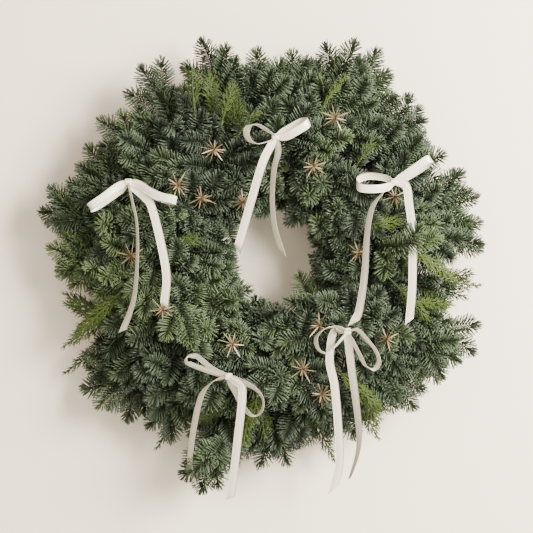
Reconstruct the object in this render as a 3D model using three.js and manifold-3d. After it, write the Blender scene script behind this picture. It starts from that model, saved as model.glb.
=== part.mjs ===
// A fresh evergreen wreath that hangs flat on a wall: fir sprays and cedar fronds stand in a straw ring,
// with gold straw stars on wire picks and five satin ribbon bows tied to twigs.
// Millimetres. X runs right, Z up and Y into the wall. The wall is the plane y = 0 and everything is in
// front of it. The origin is where the nail of the hanging loop meets the wall.
import * as THREE from "three";
import { mergeVertices } from "three/addons/utils/BufferGeometryUtils.js";
import Module from "manifold-3d";

const wasm = await Module();
wasm.setup();

// Straw ring: a D-shaped section with a flat back, swept round a circle.
const RING_RADIUS = 130;
const RING_HALF_WIDTH = 22;
const RING_DEPTH = 36;
const RING_BACK_HALF_WIDTH = 17;
const RING_SEGMENTS = 24;

// Binding wire: evenly spaced turns, with slanted runs in grooves of the flat back.
const WIRE_RADIUS = 0.9;
const WIRE_TURNS = 12;
const WIRE_SIDES = 3;

// Clear gap between pieces that touch.
const GAP = 0.3;

// Hanging loop: a wire band round the ring and an eye for the nail.
const LOOP_WIRE_RADIUS = 1.1;
const EYE_RADIUS = 9;
const EYE_DEPTH = 4;
const EYE_SEGMENTS = 10;

// Fir twigs and needles.
const STEM_RADIUS = 2;
const TWIG_RADIUS = 1.25;
const SIDE_RADIUS = 0.95;
const NEEDLE_LENGTH = 17;
const NEEDLE_WIDTH = 1.5;
const NEEDLE_SLANT = 0.95;
const WHORL_STEP = 15.5;
const BARE_SHARE = 0.24;
const BARE_LIMIT = 28;
const BARE_TIP = 4;
const ROOT_SHARE = 0.4;
const TAPER = 0.45;
const STEM_HOLE_DEPTH = 14;

// Twigs that carry the bows.
const CARRIER_RADIUS = 0.9;
const SEAT_LENGTH = 8;

// Cedar fronds: one thin blade each, with its leaflets cut to the rib.
const FROND_THICKNESS = 0.9;
const FROND_HALF_WIDTH = 15;
const FROND_RIB = 1.7;
const FROND_START = 0.4;
const FROND_DROOP = 0.012;
const LEAFLET_STEP = 14;

// Satin ribbon.
const RIBBON_WIDTH = 10;
const RIBBON_THICKNESS = 0.8;
const KNOT_RADIUS = 4.6;
const KNOT_DEPTH = KNOT_RADIUS * 0.8;
const GATHER = 0.45;

// Straw stars.
const STAR_CORE = 2.1;
const STAR_SPIKE = 17;
const PICK_RADIUS = 0.9;

// Height of the ring's centre below the nail, from the eye that stands on the ring's outer edge.
const LOOP_FOOT = RING_RADIUS + RING_HALF_WIDTH;
const CENTRE_Z = -(2 * EYE_RADIUS + LOOP_FOOT - LOOP_WIRE_RADIUS);

const STRAW = { color: 0xb7985a, roughness: 0.9, metalness: 0 };
const WIRE = { color: 0x3d4a35, roughness: 0.45, metalness: 0.6 };
const FIR = { color: 0x3c5a44, roughness: 0.62, metalness: 0 };
const CEDAR = { color: 0x5f7a2c, roughness: 0.6, metalness: 0 };
const SATIN = { color: 0xe9e2d2, roughness: 0.32, metalness: 0 };
const GOLD_STRAW = { color: 0xc79a5b, roughness: 0.5, metalness: 0.1 };

// ---------------------------------------------------------------- random draws, always the same

let draw = 20;
function random(low, high) {
  draw = (draw * 1664525 + 1013904223) % 4294967296;
  return low + ((high - low) * draw) / 4294967296;
}

// ---------------------------------------------------------------- points, skins and solids

// Points are kept on a grid of this step, so that none lie closer together.
const WELD = 1e-3;

function v3(x, y, z) {
  return new THREE.Vector3(x, y, z);
}

function radians(degrees) {
  return (degrees * Math.PI) / 180;
}

// A point by its direction from the ring's centre, its reach from there and its depth off the wall.
function place(angle, reach, depth) {
  const a = radians(angle);
  return v3(reach * Math.cos(a), -depth, CENTRE_Z + reach * Math.sin(a));
}

function toSolid(geometry) {
  const bare = geometry.clone();
  bare.deleteAttribute("normal");
  bare.deleteAttribute("uv");
  const merged = mergeVertices(bare, WELD);
  return new wasm.Manifold(
    new wasm.Mesh({
      numProp: 3,
      vertProperties: new Float32Array(merged.attributes.position.array),
      triVerts: new Uint32Array(merged.index.array),
    }),
  );
}

function toGeometry(solid) {
  const mesh = solid.getMesh();
  const points = new Float32Array(mesh.numVert * 3);
  for (let i = 0; i < mesh.numVert; i++) {
    for (let axis = 0; axis < 3; axis++) {
      const value = mesh.vertProperties[i * mesh.numProp + axis];
      points[i * 3 + axis] = Math.round(value / WELD) * WELD;
    }
  }
  const geometry = new THREE.BufferGeometry();
  geometry.setAttribute("position", new THREE.BufferAttribute(points, 3));
  geometry.setIndex(new THREE.BufferAttribute(new Uint32Array(mesh.triVerts), 1));
  return geometry;
}

// A geometry from a list of triangles, each three points.
function fromTriangles(triangles) {
  const flat = triangles.flat().flatMap((p) => [p.x, p.y, p.z]);
  const geometry = new THREE.BufferGeometry();
  geometry.setAttribute("position", new THREE.Float32BufferAttribute(flat, 3));
  return mergeVertices(geometry, WELD);
}

// A closed skin over rings of points that run anticlockwise about the way ahead. A side whose apex is
// given rises to it as a needle. The far end closes to a point where a tip is given. Opposite sides of a
// four-sided skin have like diagonals, so that the walls of a twisted strip keep apart.
function skin(rings, apexes, tip) {
  const sides = rings[0].length;
  const triangles = [];
  for (let i = 0; i + 1 < rings.length; i++) {
    for (let j = 0; j < sides; j++) {
      const a = rings[i][j];
      const b = rings[i][(j + 1) % sides];
      const c = rings[i + 1][(j + 1) % sides];
      const d = rings[i + 1][j];
      const apex = apexes.get(i * sides + j);
      if (apex) triangles.push([a, b, apex], [b, c, apex], [c, d, apex], [d, a, apex]);
      else if (sides === 4 && j >= 2) triangles.push([a, b, d], [b, c, d]);
      else triangles.push([a, b, c], [a, c, d]);
    }
  }
  const last = rings[rings.length - 1];
  for (let j = 1; j + 1 < sides; j++) triangles.push([rings[0][0], rings[0][j + 1], rings[0][j]]);
  if (tip) last.forEach((p, j) => triangles.push([p, last[(j + 1) % sides], tip]));
  else for (let j = 1; j + 1 < sides; j++) triangles.push([last[0], last[j], last[j + 1]]);
  return fromTriangles(triangles);
}

// Directions across a path at each of its points, turned as little as possible from one to the next.
function pathFrames(points, start) {
  let across = start ? start.clone() : v3(0, 1, 0.1);
  return points.map((p, i) => {
    const before = points[Math.max(i - 1, 0)];
    const after = points[Math.min(i + 1, points.length - 1)];
    const ahead = after.clone().sub(before).normalize();
    if (Math.abs(across.dot(ahead)) > 0.98) across = v3(ahead.z, ahead.x, ahead.y);
    across = across.clone().addScaledVector(ahead, -across.dot(ahead)).normalize();
    return { p, ahead, across, other: ahead.clone().cross(across) };
  });
}

function sectionRing(frame, radius, sides, roll) {
  const ring = [];
  for (let j = 0; j < sides; j++) {
    const a = roll + (2 * Math.PI * j) / sides;
    const offset = frame.across
      .clone()
      .multiplyScalar(Math.cos(a) * radius)
      .addScaledVector(frame.other, Math.sin(a) * radius);
    ring.push(frame.p.clone().add(offset));
  }
  return ring;
}

// A rod of few sides along a line of points.
function rod(points, radius, sides, tip) {
  const rings = pathFrames(points).map((frame) => sectionRing(frame, radius, sides, 0));
  return skin(rings, new Map(), tip);
}

// A rod that closes on itself, flat across the given direction.
function hoop(points, square, radius, sides) {
  const count = points.length;
  const rings = points.map((p, i) => {
    const ahead = points[(i + 1) % count]
      .clone()
      .sub(points[(i + count - 1) % count])
      .normalize();
    return sectionRing({ p, across: square, other: ahead.clone().cross(square) }, radius, sides, 0);
  });
  const triangles = [];
  rings.forEach((ring, i) => {
    const next = rings[(i + 1) % count];
    for (let j = 0; j < sides; j++) {
      const k = (j + 1) % sides;
      triangles.push([ring[j], ring[k], next[k]], [ring[j], next[k], next[j]]);
    }
  });
  return fromTriangles(triangles);
}

// The solids as one body. A hollow that joining sealed is filled and a loose scrap is dropped.
function joined(geometries) {
  let solid = toSolid(geometries[0]);
  for (const geometry of geometries.slice(1)) solid = solid.add(toSolid(geometry));
  return mainBody(solid);
}

function mainBody(solid) {
  const bodies = solid.decompose().filter((body) => body.volume() > 0);
  return bodies.reduce((best, body) => (body.volume() > best.volume() ? body : best));
}

// Welding may pinch off a speck where forms only just touch, so it is repeated until one body is left.
function settled(solid) {
  let body = solid;
  for (let pass = 0; pass < 8; pass++) {
    const welded = toSolid(toGeometry(body));
    const whole = welded.decompose().length === 1;
    body = mainBody(welded);
    if (whole) break;
  }
  return body;
}

// ---------------------------------------------------------------- what fills the space already

// Every placed form is noted as tapered rods, so that what grows later can keep clear of it.
const taken = [];

function note(node, a, b, ra, rb, twig = 0) {
  const low = a.clone().min(b).subScalar(Math.max(ra, rb));
  const high = a.clone().max(b).addScalar(Math.max(ra, rb));
  taken.push({ node, twig, a, b, ra, rb, low, high });
}

function noteLine(node, points, radius, twig = 0) {
  for (let i = 0; i + 1 < points.length; i++) note(node, points[i], points[i + 1], radius, radius, twig);
}

// Room between two tapered rods, measured where their centre lines come closest.
function roomBetween(a, b, ra, rb, other) {
  const d1 = b.clone().sub(a);
  const d2 = other.b.clone().sub(other.a);
  const r = a.clone().sub(other.a);
  const aa = d1.dot(d1);
  const ee = d2.dot(d2);
  const f = d2.dot(r);
  const c = d1.dot(r);
  const bb = d1.dot(d2);
  const denominator = aa * ee - bb * bb;
  let s = denominator > 1e-9 ? THREE.MathUtils.clamp((bb * f - c * ee) / denominator, 0, 1) : 0;
  let t = (bb * s + f) / ee;
  if (t < 0) {
    t = 0;
    s = THREE.MathUtils.clamp(-c / aa, 0, 1);
  } else if (t > 1) {
    t = 1;
    s = THREE.MathUtils.clamp((bb - c) / aa, 0, 1);
  }
  const p = a.clone().addScaledVector(d1, s);
  const q = other.a.clone().addScaledVector(d2, t);
  const radii = ra + (rb - ra) * s + other.ra + (other.rb - other.ra) * t;
  return p.distanceTo(q) - radii;
}

// The least room that a tapered rod of a node has from every other node, up to a limit. Where its twig
// is given, the other twigs of its own node count too.
function roomFor(node, a, b, ra, rb, limit, twig) {
  const reach = Math.max(ra, rb) + limit;
  const low = a.clone().min(b).subScalar(reach);
  const high = a.clone().max(b).addScalar(reach);
  let least = limit;
  for (const other of taken) {
    if (other.node === node && (twig === undefined || other.twig === twig)) continue;
    if (other.low.x > high.x || other.low.y > high.y || other.low.z > high.z) continue;
    if (other.high.x < low.x || other.high.y < low.y || other.high.z < low.z) continue;
    least = Math.min(least, roomBetween(a, b, ra, rb, other));
  }
  return least;
}

function roomForLine(node, points, radius, limit) {
  let least = limit;
  for (let i = 0; i + 1 < points.length; i++) {
    least = Math.min(least, roomFor(node, points[i], points[i + 1], radius, radius, limit));
  }
  return least;
}

// ---------------------------------------------------------------- straw ring

// The ring's section: x outwards from its centre line, y off the wall.
const RING_SECTION = [
  [-RING_BACK_HALF_WIDTH, 0],
  [RING_BACK_HALF_WIDTH, 0],
  [RING_HALF_WIDTH, 8],
  [20, 26],
  [8, RING_DEPTH],
  [-8, RING_DEPTH],
  [-20, 26],
  [-RING_HALF_WIDTH, 8],
].map(([x, y]) => new THREE.Vector2(x, y));
const SECTION_CENTRE = new THREE.Vector2(0, 18);

function ringPoint(angle, out, depth) {
  return place(angle, RING_RADIUS + out, depth);
}

// Where a ray from the section's centre leaves it: 0 degrees is outwards and 90 is off the wall.
function sectionEdge(side) {
  const way = new THREE.Vector2(Math.cos(radians(side)), Math.sin(radians(side)));
  let far = 0;
  RING_SECTION.forEach((p, i) => {
    const q = RING_SECTION[(i + 1) % RING_SECTION.length];
    const edge = q.clone().sub(p);
    const cross = way.cross(edge);
    const from = p.clone().sub(SECTION_CENTRE);
    const along = from.cross(edge) / cross;
    const share = from.cross(way) / cross;
    if (along > 0 && share >= 0 && share <= 1) far = Math.max(far, along);
  });
  return SECTION_CENTRE.clone().addScaledVector(way, far);
}

function ringBody() {
  const rings = [];
  for (let i = 0; i < RING_SEGMENTS; i++) {
    const angle = (-360 * i) / RING_SEGMENTS;
    rings.push(RING_SECTION.map((p) => ringPoint(angle, p.x, p.y)));
  }
  const triangles = [];
  rings.forEach((ring, i) => {
    const next = rings[(i + 1) % RING_SEGMENTS];
    ring.forEach((p, j) => {
      const k = (j + 1) % ring.length;
      triangles.push([p, ring[k], next[k]], [p, next[k], next[j]]);
    });
  });
  const solid = toSolid(fromTriangles(triangles));
  return solid.volume() > 0 ? solid : toSolid(fromTriangles(triangles.map(([a, b, c]) => [a, c, b])));
}

// ---------------------------------------------------------------- binding wire and hanging loop

const WIRE_LIFT = GAP + WIRE_RADIUS;
const GROOVE_WIRE_DEPTH = WIRE_RADIUS + 0.2;
const GROOVE_DEPTH = GROOVE_WIRE_DEPTH + WIRE_RADIUS + GAP;

// One turn over the front of the ring, from its inner back corner to its outer one.
function turnPoints(angle, lift) {
  const w = RING_HALF_WIDTH + lift;
  const corner = RING_BACK_HALF_WIDTH + 1.9 + lift;
  return [
    [-corner, GROOVE_WIRE_DEPTH],
    [-w, 8],
    [-20 - lift, 26.4],
    [-8 - 0.5 * lift, RING_DEPTH + 1.05 * lift],
    [8 + 0.5 * lift, RING_DEPTH + 1.05 * lift],
    [20 + lift, 26.4],
    [w, 8],
    [corner, GROOVE_WIRE_DEPTH],
  ].map(([out, depth]) => ringPoint(angle, out, depth));
}

// The first and last turns stand either side of the hanging loop, with no run behind it.
function turnAngle(k) {
  return 90 + ((k + 0.5) * 360) / WIRE_TURNS;
}

function wirePoints() {
  const points = [];
  for (let k = 0; k < WIRE_TURNS; k++) points.push(...turnPoints(turnAngle(k), WIRE_LIFT));
  return points;
}

// The straight groove in the flat back between two points on its edges.
function groove(from, to, halfWidth, depth) {
  const along = to.clone().sub(from).normalize();
  const across = v3(-along.z, 0, along.x);
  const ends = [from.clone().addScaledVector(along, -4), to.clone().addScaledVector(along, 4)];
  const rings = ends.map((end) =>
    [
      [-1, 1],
      [-1, -depth],
      [1, -depth],
      [1, 1],
    ].map(([side, y]) => v3(end.x, y, end.z).addScaledVector(across, side * halfWidth)),
  );
  const solid = toSolid(skin(rings, new Map()));
  return solid.volume() > 0 ? solid : toSolid(skin(rings.reverse(), new Map()));
}

function backGrooves() {
  const cuts = [];
  const wire = wirePoints();
  const stations = wire.length / WIRE_TURNS;
  for (let k = 1; k < WIRE_TURNS; k++) {
    const run = [wire[k * stations - 1], wire[k * stations]];
    cuts.push(groove(...run, WIRE_RADIUS + GAP, GROOVE_DEPTH));
  }
  const band = bandPoints();
  const bandDepth = GROOVE_WIRE_DEPTH + LOOP_WIRE_RADIUS + GAP;
  cuts.push(groove(band[0], band[band.length - 1], LOOP_WIRE_RADIUS + GAP, bandDepth));
  return cuts;
}

function bandPoints() {
  return turnPoints(90, GAP + LOOP_WIRE_RADIUS);
}

function eyePoints() {
  const points = [];
  for (let i = 0; i < EYE_SEGMENTS; i++) {
    const a = (2 * Math.PI * i) / EYE_SEGMENTS;
    const z = LOOP_WIRE_RADIUS - EYE_RADIUS + EYE_RADIUS * Math.cos(a);
    points.push(v3(EYE_RADIUS * Math.sin(a), -EYE_DEPTH, z));
  }
  return points;
}

// ---------------------------------------------------------------- stems in the straw

// Every stem and pick has three sides and stands in a plain hole of its own shape, with a gap all round.
const holes = [];

function addHole(surface, way, radius) {
  const bottom = surface.clone().addScaledVector(way, -STEM_HOLE_DEPTH - GAP);
  const mouth = surface.clone().addScaledVector(way, STEM_HOLE_DEPTH);
  holes.push(rod([bottom, mouth], radius + GAP / Math.cos(Math.PI / 3), 3));
}

// Finds a free place on the ring near the wanted angle for a stem that leaves it along a direction.
function standOn(node, angle, side, radius, wayFrom) {
  const edge = sectionEdge(side);
  const shrink = Math.cos(Math.PI / RING_SEGMENTS);
  let best = null;
  for (const nudge of [0, 2, -2, 4, -4, 6, -6, 8, -8, 10, -10, 12, -12]) {
    const surface = ringPoint(angle + nudge, edge.x * shrink, edge.y);
    const way = wayFrom(surface);
    const root = surface.clone().addScaledVector(way, -STEM_HOLE_DEPTH);
    const neck = surface.clone().addScaledVector(way, 6);
    const room = roomFor(node, root, neck, radius, radius, 3);
    if (!best || room > best.room) best = { surface, way, root, neck, room };
    if (room >= 2.5) break;
  }
  if (best.room < 1) console.warn(node, "stem has little room", best.room.toFixed(2));
  addHole(best.surface, best.way, radius);
  note(node, best.root, best.neck, radius, radius);
  return best;
}

// ---------------------------------------------------------------- straw stars

const STARS = [
  [117, 146, 92, 0, 0],
  [142, 140, 92, 10, 0],
  [139, 108, 90, -10, 10],
  [180, 168, 88, 0, -35],
  [207, 145, 92, -15, -10],
  [64, 188, 92, 15, 10],
  [63, 123, 92, 0, 10],
  [2, 111, 90, -45, 0],
  [248, 116, 96, 0, -35],
  [291, 182, 92, -10, 0],
  [287, 146, 84, 20, 15],
  [306, 106, 90, 10, -20],
  [325, 178, 88, -20, 20],
  [25, 172, 82, 0, 0],
  [115, 73, 88, 10, 0],
];

// An icosahedron whose ten middle faces and two front faces rise to long spikes.
function starGeometry(node, centre, turn) {
  const core = new THREE.IcosahedronGeometry(STAR_CORE, 0);
  const position = core.getAttribute("position");
  const pole = v3().fromBufferAttribute(position, 0).normalize();
  const face = new THREE.Quaternion().setFromUnitVectors(pole, v3(0, -1, 0));
  const triangles = [];
  let front = 0;
  for (let i = 0; i < position.count; i += 3) {
    const corners = [0, 1, 2].map((k) =>
      v3()
        .fromBufferAttribute(position, i + k)
        .applyQuaternion(face),
    );
    const way = corners[0].clone().add(corners[1]).add(corners[2]).normalize();
    const toFront = -way.y;
    const forward = toFront > 0.5 && front++ % 2 === 0;
    const spiked = Math.abs(toFront) < 0.5 || forward;
    const length = STAR_SPIKE * (forward ? 0.75 : 1) * random(0.85, 1.15);
    const [a, b, c] = corners.map((corner) => corner.applyQuaternion(turn).add(centre));
    if (spiked) {
      const apex = spikeEnd(node, centre, way.applyQuaternion(turn), length);
      triangles.push([a, b, apex], [b, c, apex], [c, a, apex]);
    } else triangles.push([a, b, c]);
  }
  return fromTriangles(triangles);
}

// The end of a spike, which is drawn in where it would meet another piece.
function spikeEnd(node, centre, way, length) {
  for (const share of [1, 0.85, 0.7, 0.5]) {
    const end = centre.clone().addScaledVector(way, length * share);
    const room = roomFor(node, centre, end, 1.3, 0.2, 0.6);
    if (room < 0.35 && share > 0.5) continue;
    note(node, centre, end, 1.3, 0.2);
    return end;
  }
}

function starNode(index, [angle, reach, depth, yaw, tilt]) {
  const name = "straw_star_" + String(index + 1).padStart(2, "0");
  const centre = place(angle, reach, depth);
  const turn = new THREE.Quaternion().setFromEuler(
    new THREE.Euler(radians(tilt), random(0, 1.2), radians(yaw), "ZXY"),
  );
  const side = reach > RING_RADIUS ? 78 : reach > 95 ? 105 : 125;
  const stand = standOn(name, angle, side, PICK_RADIUS, (surface) =>
    centre.clone().sub(surface).normalize(),
  );
  const star = starGeometry(name, centre, turn);
  noteLine(name, [stand.root, centre], PICK_RADIUS);
  const pick = rod([stand.root, centre], PICK_RADIUS, 3);
  return { name, solid: joined([star, pick]), material: GOLD_STRAW };
}

// ---------------------------------------------------------------- ribbon bows

// Each strip is a list of points, right of and above the ring's centre and off the wall, and the
// directions of the ribbon's width at its start, middle and end, as right, off the wall and up.
function strip(node, points, widths, gathered) {
  const line = points.map(([x, z, depth]) => v3(x, -depth, CENTRE_Z + z));
  const [start, middle, end] = widths.map(([right, off, up]) => v3(right, -off, up).normalize());
  const rings = line.map((p, i) => {
    const before = line[Math.max(i - 1, 0)];
    const after = line[Math.min(i + 1, line.length - 1)];
    const ahead = after.clone().sub(before).normalize();
    const share = (2 * i) / (line.length - 1);
    const wide = share < 1 ? start.clone().lerp(middle, share) : middle.clone().lerp(end, share - 1);
    wide.addScaledVector(ahead, -wide.dot(ahead)).normalize();
    const thick = ahead.clone().cross(wide).multiplyScalar(RIBBON_THICKNESS / 2);
    const pinched = gathered.includes(i) ? GATHER : 1;
    wide.multiplyScalar((RIBBON_WIDTH / 2) * pinched);
    return [
      p.clone().sub(wide).sub(thick),
      p.clone().add(wide).sub(thick),
      p.clone().add(wide).add(thick),
      p.clone().sub(wide).add(thick),
    ];
  });
  for (const share of [-0.66, 0, 0.66]) {
    const row = rings.map((ring) => {
      const centre = ring[0].clone().add(ring[2]).multiplyScalar(0.5);
      const half = ring[1].clone().sub(ring[0]).multiplyScalar(share / 2);
      return centre.add(half);
    });
    noteLine(node, row, 1.9);
  }
  return rings;
}

// A tail's end is cut on the slant: its far corner is drawn out along the ribbon.
function slantEnd(rings, length, side) {
  const last = rings[rings.length - 1];
  const ahead = last[0]
    .clone()
    .sub(rings[rings.length - 2][0])
    .normalize();
  for (const corner of side > 0 ? [1, 2] : [0, 3]) last[corner].addScaledVector(ahead, length);
}

const FACE_ON = [0.97, 0.1, -0.2];
const BOWS = [
  {
    name: "ribbon_bow_top",
    knot: [9, 144, 106],
    loops: [
      [
        [[9, 145, 107], [-2, 152, 112], [-13, 158, 118], [-23, 156, 122], [-26, 146, 122], [-20, 137, 118],
          [-9, 136, 112], [8, 142, 107]],
        [[0.1, 1, 0.1], [0.8, 0.6, 0], [0.1, 1, -0.1]],
      ],
      [
        [[9, 144, 107], [23, 145, 111], [35, 151, 114], [46, 158, 113], [49, 163, 108], [41, 163, 101],
          [28, 156, 100], [10, 145, 104]],
        [[-0.4, 0.2, 0.85], [-0.4, 0.2, 0.85], [-0.4, 0.2, 0.85]],
      ],
    ],
    tails: [
      [[[9, 143, 107], [-4, 123, 110], [-12, 105, 112], [-21, 71, 108], [-28, 50, 104], [-36, 12, 98]],
        [[0.9, 0.1, -0.4], [0.9, 0.1, -0.35], [0.95, 0.1, -0.3]], 9, 1],
      [[[9, 143, 106], [12, 126, 110], [7, 104, 110], [5, 68, 106], [8, 35, 102], [16, 8, 100]],
        [[0.8, 0.6, 0], [0.55, 0.83, 0], [0.6, 0.8, 0]], 10, 1],
    ],
  },
  {
    name: "ribbon_bow_left",
    knot: [-171, 90, 92],
    loops: [
      [
        [[-171, 90, 93], [-184, 83, 97], [-199, 71, 102], [-214, 61, 104], [-217, 56, 99], [-209, 55, 94],
          [-196, 64, 92], [-173, 86, 91]],
        [[-0.5, 0.15, 0.85], [-0.5, 0.15, 0.85], [-0.5, 0.15, 0.85]],
      ],
      [
        [[-171, 90, 93], [-157, 87, 97], [-145, 79, 102], [-130, 72, 106], [-117, 69, 106], [-113, 67, 101],
          [-122, 66, 95], [-136, 71, 92], [-150, 80, 91], [-170, 88, 90]],
        [[0.3, 0.1, 0.95], [0.2, 0.1, 0.97], [0.3, 0.1, 0.95]],
      ],
    ],
    tails: [
      [[[-171, 89, 93], [-166, 68, 100], [-160, 40, 103], [-159, 1, 104], [-162, -44, 104], [-168, -68, 102],
        [-176, -88, 99]], [[0.3, 0.95, 0], [0.4, 0.9, 0], [0.75, 0.65, -0.2]], 9, -1],
      [[[-171, 89, 92], [-150, 71, 96], [-141, 57, 100], [-129, 11, 108], [-123, -26, 110], [-126, -58, 106]],
        [[0.6, 0.1, 0.8], FACE_ON, FACE_ON], 5, 1],
    ],
  },
  {
    name: "ribbon_bow_right",
    knot: [154, 90, 96],
    loops: [
      [
        [[154, 90, 97], [142, 95, 99], [124, 97, 101], [112, 94, 104], [108, 88, 108], [113, 82, 112],
          [129, 81, 111], [143, 83, 105], [153, 88, 98]],
        [[0, 0.8, 0.6], [0, 0.3, 0.95], [0, 0.1, 1]],
      ],
      [
        [[154, 90, 97], [167, 98, 100], [181, 108, 102], [194, 117, 102], [199, 117, 96], [191, 110, 91],
          [177, 101, 90], [164, 94, 92], [155, 91, 94]],
        [[-0.4, 0.15, 0.85], [-0.55, 0.15, 0.8], [-0.4, 0.15, 0.85]],
      ],
    ],
    tails: [
      [[[154, 89, 97], [138, 75, 102], [126, 57, 106], [120, 25, 108], [117, -23, 110], [111, -65, 106],
        [107, -76, 104]], [[0.5, 0.7, 0.5], [0.6, 0.8, 0], [0.95, 0.3, -0.1]], 14, -1],
      [[[154, 89, 96], [168, 86, 99], [172, 63, 102], [176, 25, 102], [176, -36, 100], [173, -76, 96]],
        [[0.4, 0.1, 0.9], FACE_ON, [0.97, 0.2, 0]], 9, -1],
    ],
  },
  {
    name: "ribbon_bow_lower_right",
    knot: [96, -92, 110],
    loops: [
      [
        [[96, -92, 111], [81, -86, 116], [67, -89, 120], [58, -99, 122], [60, -112, 120], [70, -118, 117],
          [81, -110, 114], [95, -94, 111]],
        [[0.3, 0.85, 0.3], [0.4, 0.85, 0.1], [-0.3, 0.85, 0.3]],
      ],
      [
        [[96, -92, 111], [108, -90, 114], [119, -101, 117], [130, -115, 118], [134, -128, 117],
          [128, -137, 115], [118, -133, 113], [111, -120, 111], [98, -95, 110]],
        [[0.4, 0.85, 0.4], [0.4, 0.85, -0.2], [0.5, 0.8, -0.2]],
      ],
    ],
    tails: [
      [[[96, -92, 109], [80, -93, 105], [75, -127, 107], [81, -158, 105], [86, -210, 92], [88, -254, 80],
        [82, -283, 74]], [[0.3, 0.4, -0.8], FACE_ON, FACE_ON], 14, -1],
      [[[96, -92, 109], [99, -115, 104], [102, -140, 102], [107, -176, 96], [112, -219, 84], [110, -245, 78],
        [102, -272, 72]], [FACE_ON, [0.8, 0.6, 0], [0.2, 0.98, 0]], 8, -1],
    ],
  },
  {
    name: "ribbon_bow_lower_left",
    knot: [-48, -147, 104],
    loops: [
      [
        [[-48, -147, 105], [-65, -139, 108], [-79, -128, 110], [-87, -122, 111], [-96, -123, 110],
          [-98, -129, 107], [-89, -134, 105], [-64, -143, 103], [-50, -147, 103]],
        [[0.3, 0.7, 0.6], [0.3, 0.8, 0.5], [0.3, 0.7, 0.6]],
      ],
      [
        [[-48, -147, 105], [-33, -153, 108], [-17, -160, 111], [-7, -172, 113], [-7, -186, 113],
          [-16, -194, 110], [-28, -187, 106], [-40, -165, 103], [-49, -149, 102]],
        [[-0.3, 0.3, 0.9], [0.3, 0.95, 0.1], [0.8, 0.5, 0.3]],
      ],
    ],
    tails: [
      [[[-48, -147, 103], [-68, -154, 101], [-81, -170, 104], [-90, -206, 100], [-96, -250, 88],
        [-93, -272, 81]], [[0.4, 0.8, 0.5], [0.7, 0.7, 0.1], [0.6, 0.8, 0]], 12, 1],
      [[[-48, -147, 105], [-33, -157, 114], [-31, -171, 116], [-33, -192, 112], [-37, -225, 100],
        [-41, -259, 88], [-46, -296, 77]], [[0.6, 0.3, 0.7], FACE_ON, FACE_ON], 6, -1],
    ],
  },
];

function knotCentre(bow) {
  const [x, z, depth] = bow.knot;
  return v3(x, -depth, CENTRE_Z + z);
}

function bowNode(bow) {
  const centre = knotCentre(bow);
  const knot = new THREE.SphereGeometry(KNOT_RADIUS, 6, 3);
  knot.scale(1.15, KNOT_DEPTH / KNOT_RADIUS, 0.95);
  knot.translate(centre.x, centre.y, centre.z);
  note(bow.name, centre.clone().add(v3(-1.4, 0, 0)), centre.clone().add(v3(1.4, 0, 0)), 3.7, 3.7);
  const parts = [knot];
  for (const [points, widths] of bow.loops) {
    parts.push(skin(strip(bow.name, points, widths, [0, points.length - 1]), new Map()));
  }
  for (const [points, widths, slant, side] of bow.tails) {
    const rings = strip(bow.name, points, widths, [0]);
    slantEnd(rings, slant, side);
    const last = rings[rings.length - 1];
    const drawn = side > 0 ? last[1] : last[0];
    note(bow.name, rings[rings.length - 2][0], drawn, 1.9, 1);
    parts.push(skin(rings, new Map()));
  }
  return { name: bow.name, solid: joined(parts), material: SATIN };
}

// ---------------------------------------------------------------- fir sprays and cedar fronds

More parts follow.
